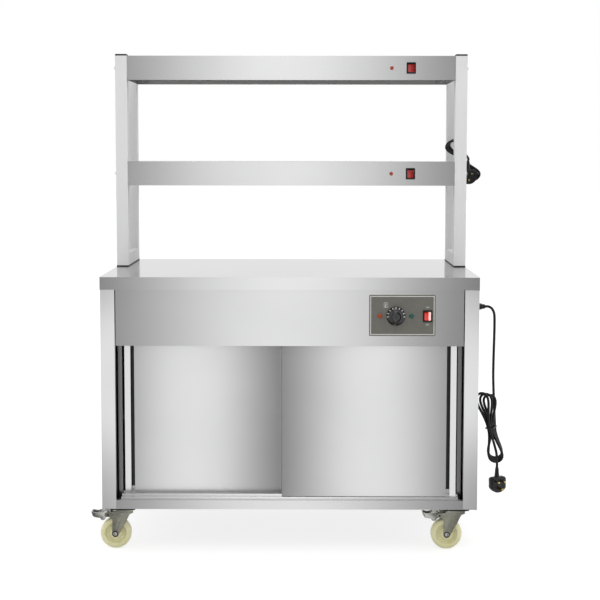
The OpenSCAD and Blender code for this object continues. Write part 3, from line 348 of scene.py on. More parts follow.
def brushed_steel(name, colour="#c7c7c7", rough=0.25, line=(1.0, 0.05, 0.0), bow=None, metal=1.0):
    """Stainless sheet with a satin finish: the belt leaves fine parallel lines, so light
    spreads across them and a reflection is drawn out into a band. bow is the slight bulge of a
    thin panel, as a height in metres made from X, Y and Z by the caller."""
    material, tree, shader, place = new_material(name)
    normal = add(tree, "ShaderNodeNewGeometry").outputs["Normal"]
    across = add(tree, "ShaderNodeVectorMath", {"operation": "CROSS_PRODUCT", 1: line}, {0: normal})
    per_metre = [1000 / (LINE_LONG_MM if abs(c) > 0.5 else LINE_WIDE_MM) for c in line]
    lines = add(tree, "ShaderNodeMapping", {"Scale": per_metre}, {"Vector": place})
    grit = add(tree, "ShaderNodeTexNoise", {"Scale": 1.0, "Detail": 5.0, "Roughness": 0.75},
               {"Vector": lines})
    cloud = add(tree, "ShaderNodeTexNoise", {"Scale": 3.5, "Detail": 4.0, "Roughness": 0.55},
                {"Vector": place})
    base = tone(colour)
    shade = add(tree, "ShaderNodeValToRGB", links={"Fac": grit},
                stops=[(0.3, shaded(base, 1 - LINE_DARK)), (0.5, base),
                       (0.7, shaded(base, 1 + LINE_LIGHT))])
    smear = add(tree, "ShaderNodeValToRGB", links={"Fac": cloud},
                stops=[(0.3, (0.955, 0.955, 0.96, 1)), (0.7, 1)])
    skin = add(tree, "ShaderNodeMixRGB", {"blend_type": "MULTIPLY", "Fac": 1.0},
               {"Color1": shade, "Color2": smear})
    spread = add(tree, "ShaderNodeMapRange", {"From Min": 0.25, "From Max": 0.75,
                                              "To Min": rough - 0.012, "To Max": rough + 0.015},
                 {0: grit})
    relief = add(tree, "ShaderNodeBump", {"Strength": 0.02, "Distance": 0.0002}, {"Height": grit})
    if bow:
        bulge = bow(tree, add(tree, "ShaderNodeSeparateXYZ", links={0: place}).outputs)
        relief = add(tree, "ShaderNodeBump", {"Strength": 1.0, "Distance": 1.0},
                     {"Height": bulge, "Normal": relief})
    feed(shader, {"Metallic": metal, "Anisotropic": 0.9},
         {"Base Color": skin, "Roughness": spread, "Normal": relief, "Tangent": across})
    return material


# Where the lip outside a finger pull starts, in metres from the middle of the cabinet
PULL_LIP = 0.5117
# Where a side panel's front fold leans, in metres: about its middle, most at this height
POST_X = 0.575
POST_MIDDLE = 0.56
POST_REACH = 0.24
POST_LEAN = 0.075


def panel_bow(x0, curve, side, lean):
    """Bulge of a door across its width about x0. side is 1 or -1 for the edge with the finger
    pull, whose narrow lip leans back a little towards the middle."""
    def bow(tree, axis):
        out = add(tree, "ShaderNodeMath", {"operation": "SUBTRACT", 1: x0}, {0: axis["X"]})
        square = add(tree, "ShaderNodeMath", {"operation": "MULTIPLY"}, {0: out, 1: out})
        bulge = add(tree, "ShaderNodeMath", {"operation": "MULTIPLY", 1: -curve / 2}, {0: square})
        over = add(tree, "ShaderNodeMath", {"operation": "MULTIPLY_ADD", 1: side, 2: -PULL_LIP},
                   {0: axis["X"]})
        past = add(tree, "ShaderNodeMath", {"operation": "MAXIMUM", 1: 0.0}, {0: over})
        return add(tree, "ShaderNodeMath", {"operation": "MULTIPLY_ADD", 1: lean}, {0: past, 2: bulge})
    return bow


def post_bow(tree, axis):
    """A front fold leans in by a few degrees at half its height."""
    outward = add(tree, "ShaderNodeMath", {"operation": "ABSOLUTE"}, {0: axis["X"]})
    side = add(tree, "ShaderNodeMath", {"operation": "SUBTRACT", 1: POST_X}, {0: outward})
    rise = add(tree, "ShaderNodeMath", {"operation": "SUBTRACT", 1: POST_MIDDLE}, {0: axis["Z"]})
    level = add(tree, "ShaderNodeMath", {"operation": "DIVIDE", 1: POST_REACH}, {0: rise})
    fall = add(tree, "ShaderNodeMath", {"operation": "MULTIPLY_ADD", 2: 1.0}, {0: level, 1: level})
    bell = add(tree, "ShaderNodeMath", {"operation": "DIVIDE", 0: 1.0}, {1: fall})
    tilt = add(tree, "ShaderNodeMath", {"operation": "MULTIPLY"}, {0: side, 1: bell})
    return add(tree, "ShaderNodeMath", {"operation": "MULTIPLY", 1: POST_LEAN}, {0: tilt})


def cast_metal(name, colour, rough, stain=0.25, bump=0.2):
    """Zinc-plated or mill-finished metal: no direction in it, clouded and slightly pitted. Its
    pits are drawn 1.5 mm wide, coarser than real ones, so that they show."""
    material, tree, shader, place = new_material(name)
    pits = add(tree, "ShaderNodeTexNoise", {"Scale": 1000 / 1.5, "Detail": 3.0}, {"Vector": place})
    cloud = add(tree, "ShaderNodeTexNoise", {"Scale": 45.0, "Detail": 5.0, "Roughness": 0.6},
                {"Vector": place})
    base = tone(colour)
    shade = add(tree, "ShaderNodeValToRGB", links={"Fac": cloud},
                stops=[(0.32, shaded(base, 1 - stain)), (0.62, base)])
    spread = add(tree, "ShaderNodeMapRange", {"To Min": rough - 0.08, "To Max": rough + 0.12}, {0: cloud})
    skin = add(tree, "ShaderNodeBump", {"Strength": bump, "Distance": 0.0002}, {"Height": pits})
    feed(shader, {"Metallic": 1.0}, {"Base Color": shade, "Roughness": spread, "Normal": skin})
    return material


def moulded(name, colour, second, rough, mottle=60.0, bump=0.12, glow=0.0, clear=0.0, scatter=0.0):
    """Moulded plastic or nylon: even colour with a faint mottle, in spots per metre, and a
    smooth skin."""
    material, tree, shader, place = new_material(name)
    cloud = add(tree, "ShaderNodeTexNoise", {"Scale": mottle, "Detail": 4.0, "Roughness": 0.55},
                {"Vector": place})
    colours = add(tree, "ShaderNodeValToRGB", links={"Fac": cloud},
                  stops=[(0.3, tone(colour)), (0.7, tone(second))])
    spread = add(tree, "ShaderNodeMapRange", {"To Min": rough - 0.05, "To Max": rough + 0.08}, {0: cloud})
    grain = add(tree, "ShaderNodeTexNoise", {"Scale": 700.0, "Detail": 2.0}, {"Vector": place})
    skin = add(tree, "ShaderNodeBump", {"Strength": bump, "Distance": 0.0002}, {"Height": grain})
    feed(shader, {"IOR": 1.5, "Transmission Weight": clear, "Coat Weight": 0.3 if clear or glow else 0.0},
         {"Base Color": colours, "Roughness": spread, "Normal": skin})
    if glow:
        feed(shader, {"Emission Strength": glow}, {"Emission Color": colours})
    if scatter:
        feed(shader, {"Subsurface Weight": scatter, "Subsurface Radius": (0.004, 0.004, 0.002)})
    return material


def shader_of(material):
    """The shader that new_material gave it."""
    return next(n for n in material.node_tree.nodes if n.type == "BSDF_PRINCIPLED")


def upward(tree):
    """How far a face points up, from -1 to 1."""
    normal = add(tree, "ShaderNodeNewGeometry").outputs["True Normal"]
    return add(tree, "ShaderNodeSeparateXYZ", links={0: normal}).outputs["Z"]


def neon_glow_and_painted_glare(material, dim_x, bright_x):
    """The rocker glows red from the neon behind its lens, and its right half glows nearly white: a painted
    glare for the highlight on the glossy lens.
    """
    tree = material.node_tree
    spot = add(tree, "ShaderNodeTexCoord").outputs["Object"]
    across = add(tree, "ShaderNodeSeparateXYZ", links={0: spot}).outputs["X"]
    near = add(tree, "ShaderNodeMapRange", {"From Min": dim_x, "From Max": bright_x,
                                            "interpolation_type": "SMOOTHSTEP"}, {0: across})
    colours = add(tree, "ShaderNodeValToRGB", links={"Fac": near},
                  stops=[(0.0, tone("#c81a14")), (0.6, tone("#f08a80")), (1.0, tone("#fff1ee"))])
    glow = add(tree, "ShaderNodeMapRange", {"To Min": 0.18, "To Max": 0.85}, {0: near})
    feed(shader_of(material), None, {"Emission Color": colours, "Emission Strength": glow})


def painted_shade_below(material):
    """Painted shade: the faces that point down are painted dark grey, matt and bare of metal, so they no
    longer mirror the room.
    """
    tree, shader = material.node_tree, shader_of(material)
    clean = shader.inputs["Base Color"].links[0].from_socket
    polish = shader.inputs["Roughness"].links[0].from_socket
    down = add(tree, "ShaderNodeMapRange", {"From Min": -0.7, "From Max": -0.95}, {0: upward(tree)})
    shade_dark_below = add(tree, "ShaderNodeMixRGB", {"Color2": tone("#3d3c3a")}, {"Fac": down, "Color1": clean})
    matt = add(tree, "ShaderNodeMapRange", {"To Max": 0.8}, {0: down, "To Min": polish})
    bare = add(tree, "ShaderNodeMapRange", {"To Min": 1.0, "To Max": 0.0}, {0: down})
    feed(shader, None, {"Base Color": shade_dark_below, "Roughness": matt, "Metallic": bare})


def polished_above(material, rough):
    """Wiping polishes the faces that point up, so things stand mirrored in them."""
    tree, shader = material.node_tree, shader_of(material)
    satin = shader.inputs["Roughness"].links[0].from_socket
    flat = add(tree, "ShaderNodeMapRange", {"From Min": 0.7, "From Max": 0.95}, {0: upward(tree)})
    worn = add(tree, "ShaderNodeMapRange", {"To Max": rough}, {0: flat, "To Min": satin})
    feed(shader, None, {"Roughness": worn})


# Belt-ground stainless: pale grey, soft bands, lines along each sheet
satin_sheet = brushed_steel("satin_stainless_sheet")
rail_sheet = brushed_steel("satin_stainless_rail")
sill_sheet = brushed_steel("satin_stainless_sill", "#dcdcdc")
door_front_sheet = brushed_steel("satin_stainless_front_door", bow=panel_bow(0.5425, 0.127, 1, 0.062))
door_rear_sheet = brushed_steel("satin_stainless_rear_door", bow=panel_bow(-0.572, 0.14, -1, 0.05))
post_sheet = brushed_steel("satin_stainless_side_panel", bow=post_bow)
liner_sheet = brushed_steel("bright_stainless_liner", "#a9a9a9", rough=0.3, line=(0.05, 0.0, 1.0))
# Finer ground and wiped bright on top
worktop_sheet = brushed_steel("fine_ground_stainless_worktop", "#cacaca", rough=0.24)
polished_above(worktop_sheet, 0.12)
# The shelves' faces that point down are painted dark as shade
shelf_sheet = brushed_steel("satin_stainless_shelf")
painted_shade_below(shelf_sheet)
# Square tube is ground along its length, evenly and dull, and shows hardly any mirror image
tube_steel = brushed_steel("satin_stainless_tube", "#eeeeee", rough=0.5, line=(0.05, 0.0, 1.0),
                           metal=0.12)
# Rolled, annealed or plated metal: cloudy, with no direction
mill_sheet = cast_metal("mill_finish_stainless_pan", "#9a9b9c", 0.42, stain=0.15)
bright_reflector = cast_metal("bright_annealed_reflector", "#c4c4c4", 0.16, stain=0.08)
# Painted shade on the reflector's faces that point down as well
painted_shade_below(bright_reflector)
zinc_fork = cast_metal("zinc_plated_pressing", "#b3b2a4", 0.36, stain=0.3, bump=0.3)
zinc_bright = cast_metal("bright_zinc_plate", "#c9c9c4", 0.24, stain=0.25)
# Castor top plates: a near-black plate, painted shade standing for the shadow under the cabinet
plate_dark_as_shade = cast_metal("castor_plate_painted_shade", "#3b3c38", 0.45, stain=0.4)
incoloy = cast_metal("heat_tinted_element_sheath", "#4a4742", 0.5, stain=0.5)
brass = cast_metal("machined_brass_pin", "#cbb478", 0.22, stain=0.12)
# Nylon: waxy, and light enters the wheels a little
nylon_cream = moulded("cast_nylon_wheel", "#dfdbab", "#eae6bf", 0.3, 35.0, scatter=0.1)
nylon_white = moulded("white_nylon_shoe", "#d9d8d2", "#e6e5df", 0.4)
# Control plate: even dark grey, with the fine tooth of anodising, and its screen print
panel_grey = moulded("grey_anodised_control_plate", "#68675f", "#6f6e66", 0.42, 90.0, 0.25)
print_white = moulded("white_screen_print", "#d8d8d4", "#e6e6e2", 0.45, 200.0)
# Black mouldings, from the polished knob to the dull rubber pads
knob_black = soft_black("polished_black_phenolic", "#0a0a0b", 0.1, 1.6, 0.05, 0.5)
abs_black = soft_black("moulded_black_abs", "#101011", 0.32, 1.2, 0.25)
plug_black = soft_black("moulded_black_plug", "#0d0d0e", 0.34, 1.4, 0.25, 0.0, 0.4)
tie_black = soft_black("black_nylon_tie", "#131313", 0.4, 1.2, 0.3)
cap_black = soft_black("black_polyethylene_cap", "#1a1b1c", 0.42, 1.2, 0.3)
rubber_black = soft_black("black_rubber_pad", "#161616", 0.6, 1.0, 0.4)
# Glossy translucent lenses, dark when their lamps are off but given a faint painted glow, and rockers with a
# neon inside, the main one with a painted glare
amber_lens = moulded("amber_lens", "#8e3410", "#a84416", 0.1, 160.0, 0.03, glow=0.03)
green_lens = moulded("green_lens", "#123f3c", "#1a5750", 0.12, 160.0, 0.03, glow=0.05)
red_rocker = moulded("translucent_red_rocker", "#c81a14", "#dd2a1c", 0.14, 120.0, 0.03, glow=0.18)
# Painted glare: the right half of the main rocker glows nearly white
neon_glow_and_painted_glare(red_rocker, 0.4335, 0.4405)
dark_red_rocker = moulded("dark_red_rocker", "#8d100e", "#a81512", 0.16, 120.0, 0.03, glow=0.06)
quartz = moulded("frosted_quartz_tube", "#d9d3c8", "#e8e3da", 0.25, 90.0, 0.1, clear=0.3)

DRESS = {
    "worktop": worktop_sheet, "side_panel_left": post_sheet, "side_panel_right": post_sheet,
    "back_panel": satin_sheet, "front_fascia": satin_sheet, "base_pan": rail_sheet,
    "door_sill": sill_sheet, "door_track": mill_sheet, "liner_left": liner_sheet,
    "liner_right": liner_sheet, "control_box": mill_sheet, "middle_shelf": mill_sheet,
    "shelf_runners": mill_sheet, "heater_element": incoloy, "heater_cover": mill_sheet,
    "door_front": door_front_sheet, "door_rear": door_rear_sheet,
    "door_front_shoes": nylon_white, "door_rear_shoes": nylon_white,
    "control_panel": panel_grey, "thermostat_body": zinc_bright, "thermostat_knob": abs_black,
    "heat_lamp": amber_lens, "power_lamp": green_lens, "switch_frame": abs_black,
    "switch_rocker": red_rocker, "cord_glands": abs_black, "cord_ties": tie_black,
    "plug_body": plug_black, "plug_pins": brass, "gantry_plug": plug_black,
    "gantry_frame_left": tube_steel, "gantry_frame_right": tube_steel, "tube_caps": cap_black,
    "foot_pads": rubber_black, "shelf_top": shelf_sheet, "shelf_lower": shelf_sheet,
    "shelf_reflectors": bright_reflector, "shelf_heaters": quartz, "gantry_lamps": amber_lens,
    "gantry_switch_frames": abs_black, "gantry_rocker_top": dark_red_rocker,
    "gantry_rocker_lower": dark_red_rocker, "gantry_bolts": zinc_bright,
    "castor_plates": zinc_fork,
}
for corner in ("fl", "fr", "rl", "rr"):
    DRESS["castor_fork_" + corner] = zinc_fork
    DRESS["castor_wheel_" + corner] = nylon_cream
for side_name in ("left", "right"):
    DRESS["castor_brake_" + side_name] = zinc_bright


for node_name, finish in DRESS.items():
    slots = NODES[node_name].material_slots
    if not slots:
        NODES[node_name].data.materials.append(finish)
    for slot in slots:
        slot.material = finish


# Pieces that stand for CAD nodes or finish them, drawn in mm

MM = 0.001


def from_bmesh(name, shape, material, body, crease):
    """Closed mesh piece in its place, smooth over edges below crease degrees, riding its body."""
    bmesh.ops.remove_doubles(shape, verts=shape.verts, dist=1e-6)
    bmesh.ops.recalc_face_normals(shape, faces=shape.faces)
    mesh = bpy.data.meshes.new(name)
    shape.to_mesh(mesh)
    shape.free()
    mesh.shade_smooth()
    mesh.set_sharp_from_angle(angle=math.radians(crease))
    mesh.materials.append(material)
    obj = bpy.data.objects.new(name, mesh)
    bpy.context.scene.collection.objects.link(obj)
    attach(obj, body)
    return obj


def soften(shape, edges, width, rounds=2):
    """Rounded edges, as a press or mould leaves them."""
    if width and edges:
        bmesh.ops.bevel(shape, geom=edges, offset=width * MM, segments=rounds, profile=0.6,
                        affect="EDGES", clamp_overlap=True)


def sharp_edges(shape, angle=32.0):
    """Edges where two faces meet at more than this angle."""
    return [e for e in shape.edges
            if len(e.link_faces) == 2 and e.calc_face_angle(0) > math.radians(angle)]


def turned_part(shape, profile, place, steps=48):
    """Adds a lathed part. profile is (radius, height) in mm along the part's own axis."""
    rings = []
    for radius, level in profile:
        if radius < 1e-4:
            rings.append([shape.verts.new(place @ Vector((0, 0, level * MM)))])
        else:
            angles = [2 * math.pi * k / steps for k in range(steps)]
            rings.append([shape.verts.new(place @ Vector((radius * MM * math.cos(a),
                                                          radius * MM * math.sin(a), level * MM)))
                          for a in angles])
    for a, b in zip(rings, rings[1:]):
        for k in range(steps):
            n = (k + 1) % steps
            corners = [a[k % len(a)], a[n % len(a)], b[n % len(b)], b[k % len(b)]]
            unique = list(dict.fromkeys(corners))
            if len(unique) > 2:
                shape.faces.new(unique)
    for ring in (rings[0], rings[-1]):
        if len(ring) > 1 and profile[0] != profile[-1]:
            shape.faces.new(ring)


def cut_part(shape, outline, depth, place, edge=0.0, rounds=2, low=0.0):
    """Adds a prism of an outline in mm, from low to depth along the part's own Z."""
    part = bmesh.new()
    under = [part.verts.new(Vector((x, y, low)) * MM) for x, y in outline]
    over = [part.verts.new(Vector((x, y, depth)) * MM) for x, y in outline]
    part.faces.new(under)
    part.faces.new(over)
    n = len(outline)
    for i in range(n):
        j = (i + 1) % n
        part.faces.new((under[i], under[j], over[j], over[i]))
    bmesh.ops.recalc_face_normals(part, faces=part.faces)
    soften(part, sharp_edges(part), edge, rounds)
    part.transform(place)
    mesh = bpy.data.meshes.new("part")
    part.to_mesh(mesh)
    part.free()
    shape.from_mesh(mesh)
    bpy.data.meshes.remove(mesh)


def rounded_outline(width, high, radius, steps=5):
    """Rectangle round the origin, its corners as arcs."""
    out = []
    for cx, cy, start in ((1, 1, 0), (-1, 1, 90), (-1, -1, 180), (1, -1, 270)):
        for k in range(steps + 1):
            a = math.radians(start + 90 * k / steps)
            out.append((cx * (width / 2 - radius) + radius * math.cos(a),
                        cy * (high / 2 - radius) + radius * math.sin(a)))
    return out


def strip_outline(line, thick):
    """Outline of a bent strip of sheet that lies left of its line."""
    line = [Vector(p) for p in line]
    sides = []
    for i, p in enumerate(line):
        d0 = (line[i] - line[i - 1]).normalized() if i else None
        d1 = (line[i + 1] - line[i]).normalized() if i < len(line) - 1 else None
        n0 = Vector((-d0.y, d0.x)) if d0 else None
        n1 = Vector((-d1.y, d1.x)) if d1 else None
        n = (n0 + n1) / (1 + n0.dot(n1)) if d0 and d1 else (n1 or n0)
        sides.append(p + thick * n)
    return [tuple(p) for p in line + sides[::-1]]


def at(x, y, z, turn=None):
    """Place of a part in the cabinet's frame, given in mm, with a turn."""
    return Matrix.Translation(Vector((x, y, z)) * MM) @ (turn or Matrix.Identity(4))


TO_FRONT = Matrix.Rotation(math.radians(90), 4, "X")
TO_RIGHT = Matrix.Rotation(math.radians(90), 4, "Y")
TO_BACK = Matrix.Rotation(math.radians(-90), 4, "X")


# Repeats, made with Geometry Nodes

def new_tree(name, inputs, output):
    """A tree with named inputs for its sizes, and the sockets that give them."""
    tree = bpy.data.node_groups.new(name, "GeometryNodeTree")
    for label, kind in inputs:
        tree.interface.new_socket(label, in_out="INPUT", socket_type="NodeSocket" + kind)
    tree.interface.new_socket(output, in_out="OUTPUT", socket_type="NodeSocketGeometry")
    return tree, add(tree, "NodeGroupInput").outputs


def place_copies(tree, points, copy, rotation, finish):
    """Ends a tree: copies on points, made real, with their material."""
    placed = add(tree, "GeometryNodeInstanceOnPoints", None,
                 {"Points": points, "Instance": copy, "Rotation": rotation})
    real = add(tree, "GeometryNodeRealizeInstances", None, {0: placed})
    finished = add(tree, "GeometryNodeSetMaterial", None, {"Geometry": real, "Material": finish})
    add(tree, "NodeGroupOutput", None, {0: finished})


def heads_tree():
    """Bolt or rivet heads on points that carry the way they face, each turned at random."""
    tree, given = new_tree("heads_on_points", [
        ("Places", "Geometry"), ("Sides", "Int"), ("Radius", "Float"), ("Height", "Float"),
        ("Dome", "Float"), ("Seed", "Int"), ("Finish", "Material")], "Heads")
    points = add(tree, "GeometryNodeMeshToPoints", None, {0: given["Places"]})
    head = add(tree, "GeometryNodeMeshCylinder", None,
               {"Vertices": given["Sides"], "Radius": given["Radius"], "Depth": given["Height"]})
    half = add(tree, "ShaderNodeMath", {"operation": "MULTIPLY", 1: 0.5}, {0: given["Height"]})
    lift = add(tree, "ShaderNodeCombineXYZ", None, {"Z": half})
    set_up = add(tree, "GeometryNodeTransform", None, {"Geometry": head, "Translation": lift})
    crown = add(tree, "GeometryNodeMeshUVSphere", {"Segments": 20, "Rings": 10},
                {"Radius": given["Radius"]})
    flat = add(tree, "ShaderNodeCombineXYZ", {"X": 0.86, "Y": 0.86}, {"Z": given["Dome"]})
    top = add(tree, "ShaderNodeCombineXYZ", None, {"Z": given["Height"]})
    crowned = add(tree, "GeometryNodeTransform", None,
                  {"Geometry": crown, "Scale": flat, "Translation": top})
    whole = feed(add(tree, "GeometryNodeJoinGeometry", None, {0: set_up}), None, {0: crowned})
    facing = add(tree, "GeometryNodeInputNamedAttribute", {"data_type": "FLOAT_VECTOR", "Name": "facing"})
    aimed = add(tree, "FunctionNodeAlignRotationToVector", {"axis": "Z"},
                {"Vector": facing.outputs["Attribute"]})
    spin = add(tree, "FunctionNodeRandomValue", {"data_type": "FLOAT", 3: 2 * math.pi},
               {"Seed": given["Seed"]})
    about = add(tree, "ShaderNodeCombineXYZ", None, {"Z": spin.outputs[1]})
    spun = add(tree, "FunctionNodeRotateRotation", {"rotation_space": "LOCAL"},
               {"Rotation": aimed, "Rotate By": about})
    place_copies(tree, points, whole, spun, given["Finish"])
    return tree


def ring_tree():
    """Bars set round an arc, such as the marks of a dial or the ribs of a grip."""
    tree, given = new_tree("bars_round_an_arc", [
        ("Base", "Geometry"), ("Count", "Int"), ("Radius", "Float"), ("First", "Float"),
        ("Step", "Float"), ("Size", "Vector"), ("Level", "Float"), ("Finish", "Material")], "Bars")
    number = add(tree, "GeometryNodeInputIndex")
    angle = add(tree, "ShaderNodeMath", {"operation": "MULTIPLY_ADD"},
                {0: number, 1: given["Step"], 2: given["First"]})
    cosine = add(tree, "ShaderNodeMath", {"operation": "COSINE"}, {0: angle})
    sine = add(tree, "ShaderNodeMath", {"operation": "SINE"}, {0: angle})
    x = add(tree, "ShaderNodeMath", {"operation": "MULTIPLY"}, {0: cosine, 1: given["Radius"]})
    y = add(tree, "ShaderNodeMath", {"operation": "MULTIPLY"}, {0: sine, 1: given["Radius"]})
    spot = add(tree, "ShaderNodeCombineXYZ", None, {"X": x, "Y": y, "Z": given["Level"]})
    points = add(tree, "GeometryNodePoints", None, {"Count": given["Count"], "Position": spot})
    bar = add(tree, "GeometryNodeMeshCube", None, {"Size": given["Size"]})
    turned = add(tree, "ShaderNodeCombineXYZ", None, {"Z": angle})
    place_copies(tree, points, bar, turned, given["Finish"])
    return tree


HEADS = heads_tree()
RING = ring_tree()


def grown(name, tree, values, body, material, places=(), facings=(), matrix=None):
    """Plain mesh of a tree's result, set in its place, riding its body."""
    mesh = bpy.data.meshes.new(name)
    mesh.from_pydata([tuple(Vector(p) * MM) for p in places] or [(0, 0, 0)], [], [])
    if facings:
        layer = mesh.attributes.new("facing", "FLOAT_VECTOR", "POINT")
        for item, facing in zip(layer.data, facings):
            item.vector = facing
    obj = bpy.data.objects.new(name, mesh)
    bpy.context.scene.collection.objects.link(obj)
    modifier = obj.modifiers.new("grown", "NODES")
    modifier.node_group = tree
    sockets = {s.name: s.identifier for s in tree.interface.items_tree if s.in_out == "INPUT"}
    for label, value in values.items():
        modifier[sockets[label]] = value
    modifier[sockets["Finish"]] = material
    graph = bpy.context.evaluated_depsgraph_get()
    result = bpy.data.meshes.new_from_object(obj.evaluated_get(graph))
    obj.modifiers.clear()
    obj.data = result
    bpy.data.meshes.remove(mesh)
    if matrix:
        result.transform(matrix)
    if not result.materials:
        result.materials.append(material)
    result.shade_smooth()
    result.set_sharp_from_angle(angle=math.radians(35))
    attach(obj, body)
    return obj


# Castors. Each is drawn in its own frame, swivel axis on Z, wheel trailing to the left.

CASTOR_X = 534
CASTOR_Y = 293
AXLE_X = -28
AXLE_Z = 50
BRAKE_X = -51
BRAKE_Z = 112
ROLLER_X = -69
ROLLER_Z = 101
FORK_INNER = 20
FORK_SHEET = 3
FORK_OUTER = FORK_INNER + FORK_SHEET
RIDGE_HIGH = 1.4
RIDGE_SUNK = 0.6
CROWN_TOP = 128
PLATE_LOW = 136
PLATE_TOP = 141
PLATE_BOLT_X = 27
PLATE_BOLT_Y = 39.5

# Half a wheel, from its bore over the ring between hub and rim to the tread
WHEEL_PROFILE = [(6.2, 19.6), (14.6, 19.6), (16.0, 18.6), (17.6, 12.0), (19.4, 7.6), (22.0, 6.2),
                 (28.5, 6.2), (31.2, 7.8), (33.0, 12.0), (34.4, 15.2), (36.6, 16.2), (40.5, 16.0),
                 (44.6, 15.0), (47.4, 13.0), (49.2, 10.4), (50.0, 7.0)]
# Side views of a fork leg, of its trailing edge with and without a brake, and of the brake
LEG = [(AXLE_X + 11 * math.cos(math.radians(a)), AXLE_Z + 11 * math.sin(math.radians(a)))
       for a in range(180, 350, 11)]
LEG += [(-8, 64), (-2, 74), (6, 88), (12, 102), (18, 113), (24, 118), (30, 120.5), (30, CROWN_TOP),
        (-30, CROWN_TOP)]
BRAKED = [(-33, 120), (-45, 119.5), (-56, 118.6), (-61, 116), (-63, 112), (-61.5, 108), (-58, 106),
          (-47, 104), (-40, 102), (-37, 98)]
PLAIN = [(-33, 119), (-36, 112)]
RIDGE = [(-4.5, 118), (-5, 112), (-25.5, 66), (-27.5, 61.5), (-30.5, 61.5), (-32, 66), (-19, 112),
         (-18.5, 118)]
ROLLED_EDGE = [(31, 120.2), (24, 116.6), (10, 117.4), (-12, 117.8), (-33, 118.2), (-45, 117.6)]
PEDAL = [(-48, 118), (-51.5, 122), (-56, 125), (-61.5, 127.4), (-67, 127), (-72.5, 121.8), (-77, 116),
         (-81.5, 110.8), (-86, 107), (-89.7, 105.2), (-93, 105), (-96.4, 106.6), (-99, 110),
         (-101.8, 115), (-104, 121)]
CHEEK = [(-47, 108), (-49, 118), (-57, 124), (-66, 125.5), (-76, 121), (-88, 118), (-98, 119.5),
         (-103, 121), (-104, 117), (-102.5, 109), (-97, 103.5), (-88, 101.5), (-78, 100.5),
         (-73, 97), (-65, 97)]


def castor_wheel(corner, base):
    """Nylon wheel with a deep ring in each face."""
    shape = bmesh.new()
    profile = WHEEL_PROFILE + [(r, -h) for r, h in reversed(WHEEL_PROFILE)]
    turned_part(shape, profile + profile[:1], base @ at(AXLE_X, 0, AXLE_Z, TO_FRONT), 96)
    piece = from_bmesh("wheel_" + corner + "_tyre", shape, nylon_cream, "wheel_" + corner, 30)
    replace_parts(piece, "castor_wheel_" + corner)


def castor_fork(corner, base, braked):
    """Two pressed legs with a raised ridge under a round crown, and a rolled edge on each leg in lighter
    zinc, a painted highlight along the crest.
    """
    upright = base @ TO_FRONT
    shape = bmesh.new()
    for face, ridge_face in ((FORK_INNER, FORK_OUTER - RIDGE_SUNK),
                             (-FORK_OUTER, -FORK_OUTER - RIDGE_HIGH)):
        cut_part(shape, LEG + (BRAKED if braked else PLAIN), face + FORK_SHEET, upright, 0.9, 2, face)
        cut_part(shape, RIDGE, ridge_face + RIDGE_SUNK + RIDGE_HIGH, upright, 0.95, 3, ridge_face)
    crown = [(0, CROWN_TOP), (33.0, CROWN_TOP), (34, 127.3), (34, 125.6), (33.2, 125), (0, 125)]
    turned_part(shape, crown, base @ Matrix.Diagonal((1, 22.9 / 34, 1, 1)), 64)
    piece = from_bmesh("fork_" + corner + "_pressing", shape, zinc_fork, "castor_" + corner, 40)
    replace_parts(piece, "castor_fork_" + corner)
    # Painted highlight: the rolled edge is in lighter zinc than the leg, a bright crest
    rim = bmesh.new()
    for face in (FORK_INNER + 0.4, -FORK_OUTER - 1.6):
        cut_part(rim, strip_outline(ROLLED_EDGE, -1.9), face + 4.2, upright, 0.7, 2, face)
    from_bmesh("fork_" + corner + "_rolled_edge_painted_highlight", rim, zinc_bright, "castor_" + corner, 40)


def castor_axle(corner, base, braked):
    """Axle with riveted caps over black washers, and the pin of a brake."""
    ends = [base @ at(AXLE_X, 0, AXLE_Z, facing) for facing in (TO_FRONT, TO_BACK)]
    axle = bmesh.new()
    for end in ends:
        turned_part(axle, [(0, 26.0), (3.4, 25.9), (5.4, 25.2), (6.3, 24.0), (6.6, 22.9), (0, 22.9)], end, 32)
    turned_part(axle, [(5.9, 24), (5.9, -24)], ends[0], 32)
    if braked:
        turned_part(axle, [(2.9, 23.0), (2.9, -23.0)], base @ at(BRAKE_X, 0, BRAKE_Z, TO_FRONT), 20)
    axle_piece = from_bmesh("axle_" + corner, axle, zinc_bright, "castor_" + corner, 40)
    washer = bmesh.new()
    for end in ends:
        turned_part(washer, [(6.7, 23.0), (9.6, 23.0), (9.6, 23.8), (6.7, 23.8), (6.7, 23.0)], end, 32)
    from_bmesh("washer_" + corner, washer, abs_black, "castor_" + corner, 40)


def castor_brake(side_name, base):
    """Bent strip between two cheeks, on a barrel round its pin, with a roller over the wheel."""
    upright = base @ TO_FRONT
    shape = bmesh.new()
    cut_part(shape, strip_outline(PEDAL, 3), 13.8, upright, 0.8, 2, -13.8)
    for face in (-17, 14):
        cut_part(shape, CHEEK, face + 3, upright, 0.7, 2, face)
    barrel = [(3.1, 17), (5.4, 17), (6, 16.4), (6, -16.4), (5.4, -17), (3.1, -17), (3.1, 17)]
    turned_part(shape, barrel, base @ at(BRAKE_X, 0, BRAKE_Z, TO_FRONT), 32)
    roller = [(0, 15), (8.4, 15), (9, 14.4), (9, -14.4), (8.4, -15), (0, -15)]
    turned_part(shape, roller, base @ at(ROLLER_X, 0, ROLLER_Z, TO_FRONT), 32)
    piece = from_bmesh("pedal_" + side_name, shape, zinc_bright, "brake_" + side_name, 35)
    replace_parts(piece, "castor_brake_" + side_name)


for corner, cx, cy, brake_side in (("fl", -CASTOR_X, -CASTOR_Y, "left"),
                                   ("fr", CASTOR_X, -CASTOR_Y, "right"),
                                   ("rl", -CASTOR_X, CASTOR_Y, None),
                                   ("rr", CASTOR_X, CASTOR_Y, None)):
    swivel = at(cx, cy, 0)
    castor_wheel(corner, swivel)
    castor_fork(corner, swivel, brake_side is not None)
    castor_axle(corner, swivel, brake_side is not None)
    if brake_side:
        castor_brake(brake_side, swivel)

